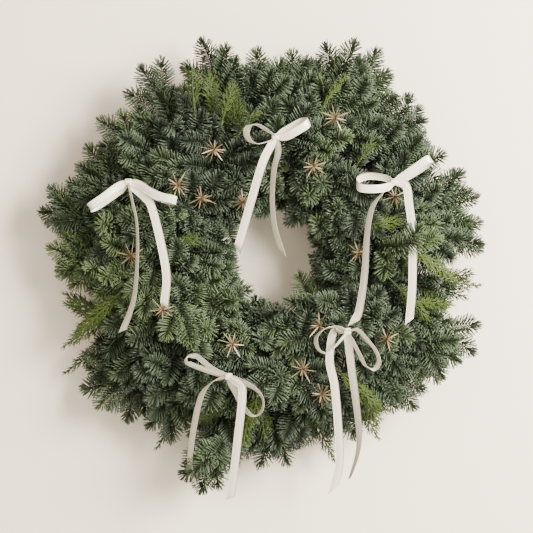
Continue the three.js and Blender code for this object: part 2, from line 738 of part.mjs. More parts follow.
// Each spray: its name, where its stem stands (angle and side of the section), and the tips of its twigs
// by angle, reach and depth. The first twig is the leader, which the others branch from.
const OUT = 35;
const FRONT = 85;
const IN = 150;
const SPRAYS = [
  ["fir", "top", 93, OUT, [[93, 255, 50], [97, 233, 62], [89, 227, 76]]],
  ["fir", "top_right", 80, OUT, [[83, 254, 45], [79, 247, 58], [75, 247, 40]]],
  ["fir", "right_1", 68, OUT, [[68, 284, 58], [70, 259, 44], [66, 232, 80]]],
  ["fir", "right_2", 59, OUT, [[62, 286, 62], [56, 267, 52], [61, 247, 86]]],
  ["fir", "right_3", 47, OUT, [[44, 262, 45], [48, 263, 56], [45, 228, 78]]],
  ["fir", "right_4", 34, OUT, [[35, 234, 42], [30, 249, 58], [38, 236, 60], [36, 179, 88]]],
  ["fir", "right_5", 20, OUT, [[16, 269, 40], [23, 261, 46], [22, 226, 66]]],
  ["fir", "right_6", 5, OUT, [[9, 265, 44], [2, 263, 40], [5, 240, 58], [6, 208, 82]]],
  ["cedar", "right", 351, OUT, [[352, 271, 44], [355, 260, 50], [348, 255, 57], [344, 217, 84]]],
  ["fir", "right_7", 339, OUT, [[335, 280, 54], [334, 256, 40], [340, 237, 60]]],
  ["fir", "lower_1", 328, OUT, [[331, 267, 62], [324, 261, 44], [328, 253, 52]]],
  ["fir", "lower_2", 316, OUT, [[314, 261, 45], [319, 253, 55], [312, 239, 60]]],
  ["cedar", "lower_right", 304, OUT, [[301, 269, 50], [308, 247, 58], [300, 246, 64]]],
  ["fir", "lower_3", 294, OUT, [[296, 249, 42], [294, 234, 48], [289, 233, 40]]],
  ["cedar", "bottom", 284, OUT, [[288, 275, 32], [282, 243, 45], [286, 219, 57]]],
  ["fir", "lower_4", 273, OUT, [[277, 240, 34], [273, 247, 40], [268, 259, 44], [265, 239, 50]]],
  ["cedar", "lower_left_1", 265, OUT, [[269, 229, 62], [264, 257, 32], [264, 178, 84]]],
  ["fir", "lower_5", 254, OUT, [[254, 303, 45], [249, 275, 50], [257, 280, 40], [260, 257, 32]]],
  ["cedar", "lower_left_2", 240, OUT, [[240, 282, 38], [235, 256, 44], [243, 228, 64]]],
  ["fir", "left_1", 230, OUT, [[242, 258, 46], [234, 245, 54], [230, 230, 66], [221, 214, 74]]],
  ["fir", "left_2", 217, OUT, [[229, 270, 26], [216, 285, 25], [209, 258, 36]]],
  ["cedar", "left_1", 206, OUT, [[210, 299, 28], [190, 262, 34]]],
  ["cedar", "left_2", 197, OUT, [[204, 283, 48], [193, 263, 52], [201, 254, 60]]],
  ["fir", "left_3", 185, OUT, [[183, 259, 40], [178, 270, 46], [185, 235, 60], [184, 223, 74]]],
  ["fir", "left_4", 170, OUT, [[169, 286, 40], [163, 282, 46], [173, 261, 36], [169, 207, 86]]],
  ["fir", "left_5", 156, OUT, [[155, 254, 45], [149, 261, 46], [160, 256, 54]]],
  ["fir", "left_6", 139, OUT, [[141, 267, 48], [131, 245, 50], [141, 231, 86]]],
  ["fir", "left_7", 125, OUT, [[124, 280, 58], [120, 238, 50], [127, 200, 90]]],
  ["cedar", "top_left", 109, FRONT, [[114, 258, 55], [108, 238, 82], [101, 209, 94], [99, 191, 98]]],
  ["fir", "top_left", 104, OUT, [[107, 279, 45], [100, 243, 50], [103, 259, 56]]],
  ["fir", "inner_1", 140, IN, [[133, 58, 50], [160, 47, 60], [138, 93, 72], [111, 96, 80]]],
  ["fir", "inner_2", 215, IN, [[238, 50, 45], [192, 46, 46], [233, 70, 78], [227, 123, 84]]],
  ["fir", "inner_3", 268, IN, [[263, 60, 50], [279, 70, 80], [266, 110, 86]]],
  ["fir", "inner_4", 310, IN, [[327, 47, 48], [303, 75, 60], [316, 90, 80], [274, 120, 76]]],
  ["fir", "inner_5", 5, IN, [[14, 61, 58], [344, 64, 52], [36, 105, 88]]],
  ["fir", "inner_6", 50, IN, [[57, 51, 46], [51, 66, 60], [55, 95, 82]]],
  ["fir", "inner_7", 92, IN, [[95, 55, 50], [112, 67, 62], [86, 165, 90]]],
];

// The bows hang on twigs that pass close behind their knots: bow, spray and tip of the extra twig.
const CARRIERS = [
  { bow: 0, spray: "fir_spray_top", tip: [88, 172, 92] },
  { bow: 1, spray: "fir_spray_left_5", tip: [150, 176, 84] },
  { bow: 2, spray: "fir_spray_right_5", tip: [33, 205, 84] },
  { bow: 3, spray: "fir_spray_inner_4", tip: [319, 155, 96] },
  { bow: 4, spray: "fir_spray_lower_5", tip: [255, 175, 88] },
];

function bezierPoints(a, b, c, count) {
  return new THREE.QuadraticBezierCurve3(a, b, c).getPoints(count);
}

// The bends a twig may take to pass what is there already, the straightest first.
function bends() {
  const list = [[0, 0]];
  for (const size of [5, 10, 15, 20, 26, 32]) {
    for (let i = 0; i < 8; i++) {
      list.push([size * Math.cos((i * Math.PI) / 4), size * Math.sin((i * Math.PI) / 4)]);
    }
  }
  return list;
}
const BENDS = bends();

// A twig from a fork or stem to a tip: the first bend of its middle that leaves room is taken.
function bentTwig(node, from, middle, tip, radius) {
  const ahead = tip.clone().sub(from).normalize();
  const across = v3(0, 1, 0).cross(ahead).normalize();
  const off = across.clone().cross(ahead);
  let best = null;
  for (const [a, b] of BENDS) {
    const control = middle.clone().addScaledVector(across, a).addScaledVector(off, b);
    const points = bezierPoints(from, control, tip, 6);
    if (points.some((p) => p.y > -radius - 1)) continue;
    const room = roomForLine(node, points, radius, 1.2);
    if (!best || room > best.room) best = { control, points, room };
    if (room >= 0.8) break;
  }
  if (best.room < 0.3) console.warn(node, "twig has no room", best.room.toFixed(2));
  return best;
}

// The leader's stem stands in the ring and its curve starts along the stem.
function leaderTwig(node, angle, side, tip) {
  const outward = sectionEdge(side).sub(SECTION_CENTRE).normalize();
  const stand = standOn(node, angle, side, STEM_RADIUS, (surface) => {
    const a = Math.atan2(surface.z - CENTRE_Z, surface.x);
    const square = v3(outward.x * Math.cos(a), -outward.y, outward.x * Math.sin(a));
    const toTip = tip.clone().sub(surface).normalize();
    return square.multiplyScalar(0.8).add(toTip).normalize();
  });
  const reach = tip.distanceTo(stand.neck);
  const middle = stand.neck.clone().addScaledVector(stand.way, reach * 0.42);
  return { stand, twig: bentTwig(node, stand.neck, middle, tip, TWIG_RADIUS + 0.3) };
}

// A side twig leaves the leader at a share of its length and opens away from it.
function sideTwig(node, leader, share, tip) {
  let best = null;
  for (const shift of [0, -0.1, 0.1, -0.2, 0.2]) {
    const at = THREE.MathUtils.clamp(share + shift, 0.08, 0.85);
    const fork = leader.getPoint(at);
    const reach = tip.distanceTo(fork);
    const middle = fork
      .clone()
      .addScaledVector(leader.getTangent(at), reach * 0.18)
      .add(tip.clone().sub(fork).multiplyScalar(0.26));
    const twig = bentTwig(node, fork, middle, tip, TWIG_RADIUS);
    if (!best || twig.room > best.room) best = twig;
    if (best.room >= 0.8) break;
  }
  return best;
}

// A carrier passes behind its knot at the seat, so that the knot rests on it.
function carrierTwig(node, leader, bow, tip) {
  const seat = knotCentre(bow).add(v3(0, KNOT_DEPTH + GAP + CARRIER_RADIUS, 0));
  let best = null;
  const shifts = [0, 12, -12, 24, -24];
  const tips = [0, 7, 14].flatMap((y) =>
    shifts.flatMap((x) => shifts.map((z) => tip.clone().add(v3(x, y, z)))),
  );
  for (const end of tips) {
    for (const at of [0.2, 0.35, 0.1, 0.5, 0.65]) {
      for (const t of [0.6, 0.75, 0.85]) {
        const fork = leader.getPoint(at);
        const control = seat
          .clone()
          .addScaledVector(fork, -(1 - t) * (1 - t))
          .addScaledVector(end, -t * t)
          .divideScalar(2 * t * (1 - t));
        const curve = new THREE.QuadraticBezierCurve3(fork, control, end);
        const points = curve.getPoints(12);
        const room = roomForLine(node, points, CARRIER_RADIUS, 1.2);
        if (!best || room > best.room) best = { curve, points, room, seatShare: t };
      }
    }
    if (best.room > 0.25) break;
  }
  if (best.room < 0.15) console.warn(node, "carrier has no room", best.room.toFixed(2));
  return best;
}

// ---------------------------------------------------------------- needles on a twig

// A twig's core with its needles: whorls of three, each a short band whose sides rise to needles. A
// leader's core begins as the stem in the ring, and a side twig's begins small inside the leader's. Where
// a seat is given, the core has a section there.
function needledTwig(node, twig, points, { radius, stem, seat }) {
  const curve = new THREE.CatmullRomCurve3(points);
  const length = curve.getLength();
  const bare = length * BARE_SHARE;
  const needled = length - bare - BARE_TIP;
  const whorls = Math.max(2, Math.round(needled / WHORL_STEP));
  const bareSteps = bare > BARE_LIMIT ? 3 : 2;
  const stations = [];
  for (let i = stem ? 1 : 0; i < bareSteps; i++) stations.push({ s: (bare * i) / bareSteps });
  for (let k = 0; k < whorls; k++) {
    const s = bare + (needled * (k + 0.5)) / whorls;
    stations.push({ s: s - NEEDLE_WIDTH / 2, whorl: k }, { s: s + NEEDLE_WIDTH / 2 });
  }
  if (seat) stations.push({ s: length * nearestShare(curve, seat) });
  stations.sort((p, q) => p.s - q.s);
  const placed = stations.map(({ s }) => curve.getPointAt(s / length));
  const start = stem ? [stem.root, stem.neck] : [];
  const frames = pathFrames([...start, ...placed, points[points.length - 1]]);
  const rings = start.map((p, i) => sectionRing(frames[i], STEM_RADIUS, 3, 0));
  const apexes = new Map();
  let turn = stem ? 0 : random(0, 2);
  stations.forEach(({ s, whorl }, i) => {
    if (whorl !== undefined) turn -= Math.PI / 3;
    const full = radius * (1 - TAPER * (s / length));
    rings.push(sectionRing(frames[start.length + i], s === 0 ? full * ROOT_SHARE : full, 3, turn));
  });
  stations.forEach(({ whorl }, i) => {
    if (whorl === undefined) return;
    const at = start.length + i;
    for (let j = 0; j < 3; j++) {
      const apex = needleApex(node, twig, rings, at, j, frames[at].ahead, whorl / whorls);
      if (apex) apexes.set(at * 3 + j, apex);
    }
  });
  return skin(rings, apexes, points[points.length - 1]);
}

function nearestShare(curve, target) {
  const steps = 200;
  let best = 0;
  for (let i = 1; i < steps; i++) {
    const near = curve.getPointAt(i / steps).distanceTo(target);
    if (near < curve.getPointAt(best).distanceTo(target)) best = i / steps;
  }
  return best;
}

// The end of a needle that rises from one side of a whorl, leaning ahead. It is turned or left out where
// it would meet another piece or the wall.
function needleApex(node, twig, rings, i, j, ahead, share) {
  const k = (j + 1) % 3;
  const foot = rings[i][j].clone().add(rings[i][k]).add(rings[i + 1][j]).add(rings[i + 1][k]);
  foot.multiplyScalar(0.25);
  const axis = rings[i][0].clone().add(rings[i][1]).add(rings[i][2]).divideScalar(3);
  const out = foot.clone().sub(axis);
  out.addScaledVector(ahead, -out.dot(ahead)).normalize();
  const sideways = ahead.clone().cross(out);
  const length = NEEDLE_LENGTH * random(0.85, 1.1) * (1 - 0.25 * share);
  for (const [lean, swing] of [[0, 0], [0.25, 0.3], [0.25, -0.3], [0.7, 0], [-0.25, 0.25], [-0.25, -0.25]]) {
    const way = out
      .clone()
      .addScaledVector(ahead, NEEDLE_SLANT + lean)
      .addScaledVector(sideways, swing)
      .normalize();
    const apex = foot.clone().addScaledVector(way, length);
    if (apex.y > -1) continue;
    const start = foot.clone().addScaledVector(way, 0.8);
    if (roomFor(node, start, apex, 1.1, 0.15, 0.6, twig) < 0.35) continue;
    note(node, foot, apex, 1.1, 0.15, twig);
    return apex;
  }
  return null;
}

// ---------------------------------------------------------------- cedar blades

// A thin arched blade along a twig's curve: a narrow stalk, then leaflets cut to the rib on both sides.
function frond(node, points) {
  const curve = new THREE.CatmullRomCurve3(points);
  const length = curve.getLength() * (1 - FROND_START);
  const pairs = Math.max(3, Math.round(length / LEAFLET_STEP));
  const shares = [0, FROND_START / 2];
  for (let i = 0; i <= pairs; i++) shares.push(FROND_START + ((1 - FROND_START) * i) / (pairs + 0.7));
  const stalk = 2;
  const frames = pathFrames([...shares, 1].map((share) => curve.getPointAt(share)), flatSide(points));
  const rows = frames.map((f, i) => {
    const rib = FROND_RIB * (1 - (0.6 * i) / frames.length);
    return {
      left: f.p.clone().addScaledVector(f.across, -rib),
      right: f.p.clone().addScaledVector(f.across, rib),
      up: f.other,
    };
  });
  const leaflets = [];
  for (let i = stalk; i < stalk + pairs; i++) {
    const along = (i - stalk + 0.5) / pairs;
    const reach = FROND_HALF_WIDTH * Math.sin(Math.PI * Math.min(0.92, 0.22 + 0.75 * along));
    for (const side of [-1, 1]) {
      const out = reach * random(0.85, 1.1);
      const apex = frames[i].p
        .clone()
        .lerp(frames[i + 1].p, 0.5)
        .addScaledVector(frames[i].across, side * out)
        .addScaledVector(frames[i].ahead, out * random(0.75, 1.05))
        .addScaledVector(frames[i].other, -FROND_DROOP * out * out);
      leaflets.push({ i, side, apex });
    }
  }
  return bladeGeometry(node, rows, leaflets, frames[frames.length - 1].p);
}

// The direction across a frond: level with the wall, so that the frond shows its face.
function flatSide(points) {
  const ahead = points[points.length - 1].clone().sub(points[0]).normalize();
  return v3(0, -1, 0).cross(ahead).normalize();
}

function bladeGeometry(node, rows, leaflets, tip) {
  const last = rows.length - 2;
  const end = rows[last];
  const faces = [];
  for (let i = 0; i < last; i++) {
    const [p, q] = [rows[i], rows[i + 1]];
    faces.push([[p.left, p.up], [p.right, p.up], [q.right, q.up]]);
    faces.push([[p.left, p.up], [q.right, q.up], [q.left, q.up]]);
  }
  for (const { i, side, apex } of leaflets) {
    const [p, q] = [rows[i], rows[i + 1]];
    const [near, far] = side < 0 ? [p.left, q.left] : [p.right, q.right];
    if (side < 0) faces.push([[near, p.up], [far, q.up], [apex, p.up]]);
    else faces.push([[near, p.up], [apex, p.up], [far, q.up]]);
    for (const share of [0, 0.35, 0.7, 1]) note(node, near.clone().lerp(far, share), apex, 1, 0.8);
  }
  faces.push([[end.left, end.up], [end.right, end.up], [tip, end.up]]);
  note(node, end.left, tip, 1.5, 0.9);
  const leaf = (i, side) =>
    leaflets.filter((l) => l.i === i && l.side === side).map((l) => [l.apex, rows[i].up]);
  const outline = [];
  for (let i = 0; i <= last; i++) outline.push([rows[i].right, rows[i].up], ...leaf(i, 1));
  outline.push([tip, end.up]);
  for (let i = last; i >= 0; i--) outline.push(...leaf(i, -1), [rows[i].left, rows[i].up]);
  return thickened(faces, outline, FROND_THICKNESS / 2);
}

// Both faces of a blade, alike, and the wall round its outline. Each point comes with its way up.
function thickened(faces, outline, half) {
  const top = ([p, up]) => p.clone().addScaledVector(up, half);
  const under = ([p, up]) => p.clone().addScaledVector(up, -half);
  const all = [];
  for (const [a, b, c] of faces) {
    all.push([top(a), top(b), top(c)], [under(a), under(c), under(b)]);
  }
  outline.forEach((a, i) => {
    const b = outline[(i + 1) % outline.length];
    all.push([under(a), under(b), top(b)], [under(a), top(b), top(a)]);
  });
  const geometry = fromTriangles(all);
  if (toSolid(geometry).volume() > 0) return geometry;
  return fromTriangles(all.map(([a, b, c]) => [a, c, b]));
}

// ---------------------------------------------------------------- building the sprays

// First the woody cores of all sprays are laid out, then their needles and fronds grow in what is free.
function layOutSpray([kind, label, angle, side, tips]) {
  const name = (kind === "fir" ? "fir_spray_" : "cedar_fronds_") + label;
  const places = tips.map(([a, reach, depth]) => place(a, reach, depth));
  const { stand, twig } = leaderTwig(name, angle, side, places[0]);
  const leader = new THREE.QuadraticBezierCurve3(stand.neck, twig.control, places[0]);
  noteLine(name, twig.points, TWIG_RADIUS, 1);
  const sides = [];
  places.slice(1).forEach((tip, i) => {
    const share = kind === "fir" ? 0.42 - 0.1 * i : 0.3 - 0.08 * i;
    const side = sideTwig(name, leader, share, tip);
    noteLine(name, side.points, TWIG_RADIUS * 0.8, i + 2);
    sides.push(side);
  });
  const carried = CARRIERS.find(({ spray }) => spray === name);
  if (!carried) return { kind, name, stand, leader: twig, sides };
  const carrier = carrierTwig(name, leader, BOWS[carried.bow], place(...carried.tip));
  noteLine(name, carrier.points, CARRIER_RADIUS, sides.length + 2);
  return { kind, name, stand, leader: twig, sides, carrier };
}

function growFir({ name, stand, leader, sides, carrier }) {
  const parts = [needledTwig(name, 1, leader.points, { radius: TWIG_RADIUS + 0.35, stem: stand })];
  sides.forEach(({ points }, i) => parts.push(needledTwig(name, i + 2, points, { radius: SIDE_RADIUS })));
  if (carrier) {
    const seat = carrier.curve.getPoint(carrier.seatShare);
    parts.push(needledTwig(name, sides.length + 2, carrier.points, { radius: CARRIER_RADIUS, seat }));
    parts.push(seatRod(carrier));
  }
  return { name, solid: joined(parts), material: FIR };
}

// The bare length of twig that a knot is tied to, with an edge towards the knot.
function seatRod({ curve, seatShare }) {
  const half = SEAT_LENGTH / 2 / curve.getLength();
  const points = [-half, 0, half].map((shift) => curve.getPoint(seatShare + shift));
  return rod(points, CARRIER_RADIUS, 4);
}

function growCedar({ name, stand, leader, sides }) {
  const stemEnd = stand.neck.clone().addScaledVector(stand.way, STEM_RADIUS);
  const parts = [rod([stand.root, stemEnd], STEM_RADIUS, 3)];
  for (const { points } of [leader, ...sides]) parts.push(frond(name, points));
  return { name, solid: joined(parts), material: CEDAR };
}

// ---------------------------------------------------------------- the wreath

function meshOf({ name, solid, material }) {
  const mesh = new THREE.Mesh(toGeometry(settled(solid)), new THREE.MeshStandardMaterial(material));
  mesh.name = name;
  return mesh;
}

function buildWreath() {
  const wreath = new THREE.Group();
  const wireLine = wirePoints();
  noteLine("binding_wire", wireLine, WIRE_RADIUS);
  const band = bandPoints();
  noteLine("hanging_loop", band, LOOP_WIRE_RADIUS);
  const eye = eyePoints();
  noteLine("hanging_loop", [...eye, eye[0]], LOOP_WIRE_RADIUS);
  const bows = BOWS.map(bowNode);
  const stars = STARS.map((star, i) => starNode(i, star));
  const layouts = SPRAYS.map(layOutSpray);
  const cedars = layouts.filter((spray) => spray.kind === "cedar").map(growCedar);
  const firs = layouts.filter((spray) => spray.kind === "fir").map(growFir);
  let ring = ringBody();
  for (const cut of backGrooves()) ring = ring.subtract(cut);
  for (const hole of holes) ring = ring.subtract(toSolid(hole));
  const pieces = [
    { name: "straw_ring", solid: mainBody(ring), material: STRAW },
    { name: "binding_wire", solid: joined([rod(wireLine, WIRE_RADIUS, WIRE_SIDES)]), material: WIRE },
    {
      name: "hanging_loop",
      solid: joined([
        hoop(band, v3(1, 0, 0), LOOP_WIRE_RADIUS, 4),
        hoop(eye, v3(0, 1, 0), LOOP_WIRE_RADIUS, 4),
      ]),
      material: WIRE,
    },
    ...stars,
    ...bows,
    ...cedars,
    ...firs,
  ];
  for (const piece of pieces) wreath.add(meshOf(piece));
  return wreath;
}

export default buildWreath();
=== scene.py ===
import math
import random

import bpy
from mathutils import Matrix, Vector
from mathutils.kdtree import KDTree


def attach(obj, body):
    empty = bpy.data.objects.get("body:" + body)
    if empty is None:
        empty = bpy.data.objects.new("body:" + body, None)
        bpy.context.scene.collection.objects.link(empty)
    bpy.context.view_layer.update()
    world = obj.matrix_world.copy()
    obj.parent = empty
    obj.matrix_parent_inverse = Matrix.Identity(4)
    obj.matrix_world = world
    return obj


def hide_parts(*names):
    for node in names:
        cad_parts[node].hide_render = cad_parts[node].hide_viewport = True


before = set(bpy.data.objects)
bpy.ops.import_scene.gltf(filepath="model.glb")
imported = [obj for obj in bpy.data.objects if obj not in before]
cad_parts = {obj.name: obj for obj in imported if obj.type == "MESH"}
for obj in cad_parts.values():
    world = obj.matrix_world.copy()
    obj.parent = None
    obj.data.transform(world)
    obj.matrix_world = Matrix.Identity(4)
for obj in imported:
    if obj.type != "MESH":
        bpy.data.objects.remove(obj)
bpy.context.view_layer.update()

# ---- Camera ----
# The wreath is seen square from the front, from two metres away, a little below its middle. One pixel is
# about 1.25 mm at the foliage. Sizes below are in millimetres until they are placed.
MM = 0.001
CENTRE_Z = -168.9
VIEW_FROM = (-1.9, -2050, CENTRE_Z - 13.1)


def add_object(name, data):
    made = bpy.data.objects.new(name, data)
    bpy.context.collection.objects.link(made)
    return made


camera_data = bpy.data.cameras.new("camera")
camera_data.sensor_width = 36.0
camera_data.lens = 108.06
camera = add_object("camera", camera_data)
camera.location = [length * MM for length in VIEW_FROM]
camera.rotation_euler = (math.radians(90), 0, 0)
bpy.context.scene.camera = camera

# ---- Wall, floor and light ----
# A pale painted wall that the wreath hangs on, a pale floor far below it, and soft window light from the
# right. The wall shows only from its front, so that the back of the wreath can be seen.
WALL_Y = 0.0015
FLOOR_Z = -1.1


def node(tree, kind, inputs=None, **settings):
    """A node with its settings, and its inputs linked or set."""
    made = tree.nodes.new(kind)
    for name, value in settings.items():
        setattr(made, name, value)
    for key, value in (inputs or {}).items():
        if isinstance(value, bpy.types.NodeSocket):
            tree.links.new(value, made.inputs[key])
        else:
            made.inputs[key].default_value = value
    return made


def maths(tree, operation, *values):
    return node(tree, "ShaderNodeMath", dict(enumerate(values)), operation=operation).outputs[0]


def object_place(tree):
    return node(tree, "ShaderNodeTexCoord").outputs["Object"]


def noise(tree, place, scale, detail, **more):
    inputs = {"Vector": place, "Scale": scale, "Detail": detail, **more}
    return node(tree, "ShaderNodeTexNoise", inputs).outputs["Fac"]


def bump(tree, height, strength, distance):
    inputs = {"Height": height, "Strength": strength, "Distance": distance}
    return node(tree, "ShaderNodeBump", inputs).outputs[0]


def blend(tree, share, first, second, **settings):
    """A colour between two others, each a socket or red, green and blue."""
    first, second = ((*c, 1) if isinstance(c, tuple) else c for c in (first, second))
    inputs = {0: share, 6: first, 7: second}
    return node(tree, "ShaderNodeMix", inputs, data_type="RGBA", **settings).outputs[2]


def material(name):
    made = bpy.data.materials.new(name)
    made.use_nodes = True
    made.node_tree.nodes.clear()
    return made, made.node_tree


def output(tree, shader):
    """Makes a shader the material's surface."""
    node(tree, "ShaderNodeOutputMaterial", {"Surface": shader})


def finish(tree, looks):
    """The material's surface from its looks."""
    output(tree, node(tree, "ShaderNodeBsdfPrincipled", looks).outputs[0])


def flat_stage(name, corners, mat):
    mesh = bpy.data.meshes.new(name)
    mesh.from_pydata(corners, [], [(0, 1, 2, 3)])
    mesh.materials.append(mat)
    add_object(name, mesh)


wall_paint, tree = material("wall_paint")
place = object_place(tree)
cream = blend(tree, noise(tree, place, 3.0, 3.0), (0.84, 0.745, 0.585), (0.88, 0.80, 0.66))
rough = bump(tree, noise(tree, place, 260.0, 2.0), 0.05, 0.001)
paint = node(tree, "ShaderNodeBsdfPrincipled", {"Base Color": cream, "Roughness": 0.9, "Normal": rough})
front = maths(tree, "SUBTRACT", 1.0, node(tree, "ShaderNodeNewGeometry").outputs["Backfacing"])
seen = maths(tree, "MULTIPLY", front, node(tree, "ShaderNodeLightPath").outputs["Is Camera Ray"])
clear = node(tree, "ShaderNodeBsdfTransparent")
wall_mix = node(tree, "ShaderNodeMixShader", {0: seen, 1: clear.outputs[0], 2: paint.outputs[0]})
output(tree, wall_mix.outputs[0])

floor_paint, tree = material("floor_paint")
finish(tree, {"Base Color": (0.76, 0.74, 0.71, 1), "Roughness": 0.85})

wall_corners = [(x, WALL_Y, z) for x, z in ((-3, FLOOR_Z), (3, FLOOR_Z), (3, 2.2), (-3, 2.2))]
flat_stage("wall", wall_corners, wall_paint)
flat_stage("floor", [(x, y, FLOOR_Z) for x, y in ((-3, -4), (3, -4), (3, 3), (-3, 3))], floor_paint)

world = bpy.data.worlds.new("room")
world.use_nodes = True
sky = world.node_tree.nodes["Background"].inputs
sky["Color"].default_value = (1.0, 0.85, 0.69, 1)
sky["Strength"].default_value = 0.36
bpy.context.scene.world = world


def soft_light(name, place, size, watts, tint):
    data = bpy.data.lights.new(name, "AREA")
    data.size = size
    data.energy = watts
    data.color = tint
    made = add_object(name, data)
    made.location = place
    aim = Vector((0, 0, CENTRE_Z * MM)) - Vector(place)
    made.rotation_euler = aim.to_track_quat("-Z", "Y").to_euler()


soft_light("window", (1.45, -1.3, 0.4), 1.1, 225, (1.0, 0.965, 0.91))
soft_light("ceiling_bounce", (-1.1, -2.2, 1.2), 2.4, 52, (1.0, 0.93, 0.83))

# ---- Straw ring ----
# Rye straw bundled round a wire hoop and pressed into a ring with a flat back, which lies on the wall.
# All stems and picks are pushed into it. Only its back shows once it is covered.
RING_RADIUS = 130.0
RING_SECTION = [(-17, 0), (17, 0), (22, 8), (20, 26), (8, 36), (-8, 36), (-20, 26), (-22, 8)]
SECTION_MIDDLE = Vector((0, 18))
RING_STEPS = 160
LOWEST_STRAW = 1.3
STRAW_BROWNS = [(0.3, (0.10, 0.065, 0.03, 1)), (0.52, (0.22, 0.16, 0.075, 1)), (0.72, (0.38, 0.29, 0.15, 1))]
draws = random.Random(11)


def spot(angle, reach, depth):
    """A place on the wreath, by its angle and reach from the ring's middle and its depth off the wall."""
    a = math.radians(angle)
    return Vector((reach * math.cos(a), -depth, CENTRE_Z + reach * math.sin(a)))


def put(name, mesh, mat, replaced):
    """Puts a finished mesh on the wreath in place of its CAD node, with a material where it has none yet."""
    if mat:
        mesh.materials.append(mat)
    made = add_object(name, mesh)
    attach(made, "root")
    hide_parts(replaced)
    return made


def mesh_of(name, points, faces, smooth=True):
    mesh = bpy.data.meshes.new(name)
    mesh.from_pydata([p * MM for p in points], [], faces)
    mesh.polygons.foreach_set("use_smooth", [smooth] * len(faces))
    mesh.validate()
    return mesh


def bent(a, b, c, share):
    """The point at a share of a bend from a to c that is drawn towards b."""
    return a.lerp(b, share).lerp(b.lerp(c, share), share)


def skin(rows, sides, closed=False):
    """Faces over rows of points that go round, open at its ends or closed on itself."""
    faces = []
    for i in range(rows if closed else rows - 1):
        n = (i + 1) % rows
        for j in range(sides):
            k = (j + 1) % sides
            faces.append((i * sides + j, i * sides + k, n * sides + k, n * sides + j))
    return faces


def rounded_section(corners, per_side, cut):
    """The ring's outline with its corners cut, as evenly laid straw rounds them."""
    outline = []
    for i in range(len(corners)):
        a, b, c = (Vector(corners[(i + k) % len(corners)]) for k in (-1, 0, 1))
        start, end = b.lerp(c, cut), c.lerp(b, cut)
        outline += [bent(b.lerp(a, cut), b, start, t) for t in (0.0, 0.5, 1.0)]
        outline += [start.lerp(end, (k + 1) / (per_side + 1)) for k in range(per_side)]
    return outline


outline = rounded_section(RING_SECTION, 4, 0.22)
strands = [draws.uniform(-0.7, 0.5) for _ in outline]
points = []
for i in range(RING_STEPS):
    for j, corner in enumerate(outline):
        drift = 0.35 * math.sin(0.9 * j + 0.21 * i) + 0.25 * math.sin(1.7 * j - 0.37 * i)
        edge = corner - SECTION_MIDDLE
        shifted = SECTION_MIDDLE + edge * (1 + (strands[j] + drift - 0.6) / edge.length)
        points.append(spot(360 * i / RING_STEPS, RING_RADIUS + shifted.x, max(shifted.y, LOWEST_STRAW)))
ring = mesh_of("straw_ring", points, skin(RING_STEPS, len(outline), True))
ring_uv = ring.uv_layers.new(name="strand")
for face, polygon in enumerate(ring.polygons):
    i, j = divmod(face, len(outline))
    for corner, (di, dj) in zip(polygon.loop_indices, [(0, 0), (0, 1), (1, 1), (1, 0)]):
        ring_uv.data[corner].uv = ((j + dj) / len(outline), (i + di) / RING_STEPS)

straw, tree = material("straw")
strand_uv = node(tree, "ShaderNodeUVMap", uv_map="strand").outputs[0]
drawn = node(tree, "ShaderNodeMapping", {"Vector": strand_uv, "Scale": (90, 7, 1)}).outputs[0]
stalks = noise(tree, drawn, 1.0, 4.0, Roughness=0.6)
ramp = node(tree, "ShaderNodeValToRGB", {"Fac": stalks})
for stop, (at, colour) in enumerate(STRAW_BROWNS):
    if stop == 2:
        ramp.color_ramp.elements.new(at)
    ramp.color_ramp.elements[stop].position = at
    ramp.color_ramp.elements[stop].color = colour
finish(tree, {"Base Color": ramp.outputs[0], "Roughness": 0.6, "Normal": bump(tree, stalks, 0.8, 0.001)})
put("straw_ring_bundle", ring, straw, "straw_ring")

# ---- Binding wire and hanging eye ----
# Thin green florist's wire, wound round the straw in slanted turns, and a thicker wire band at the top with
# an eye twisted on it for the nail.
WIRE_TURNS = 12
WIRE_RADIUS = 0.9
HANGER_RADIUS = 1.1
EYE_RADIUS = 9.0
EYE_DEPTH = 4
EYE_STEPS = 40
TWIST_RADIUS = 1.3


def turn_points(angle, lift):
    """One turn of wire round the ring's section, lifted off the straw."""
    w = 22 + lift
    corner = 18.9 + lift
    section = [(-corner, 1.1), (-w, 8), (-20 - lift, 26.4), (-8 - 0.5 * lift, 36 + 1.05 * lift),
               (8 + 0.5 * lift, 36 + 1.05 * lift), (20 + lift, 26.4), (w, 8), (corner, 1.1)]
    return [spot(angle, RING_RADIUS + out, depth) for out, depth in section]


def smooth_line(points, per_step, closed=False):
    """Points along a smooth curve through the given ones."""
    n = len(points)
    line = []
    for i in range(n if closed else n - 1):
        if closed:
            a, b, c, d = (points[(i + k) % n] for k in (-1, 0, 1, 2))
        else:
            a, b, c, d = (points[min(max(i + k, 0), n - 1)] for k in (-1, 0, 1, 2))
        for step in range(per_step):
            t = step / per_step
            line.append(0.5 * (2 * b + (c - a) * t + (2 * a - 5 * b + 4 * c - d) * t ** 2
                               + (3 * b - a - 3 * c + d) * t ** 3))
    if not closed:
        line.append(points[-1].copy())
    return line


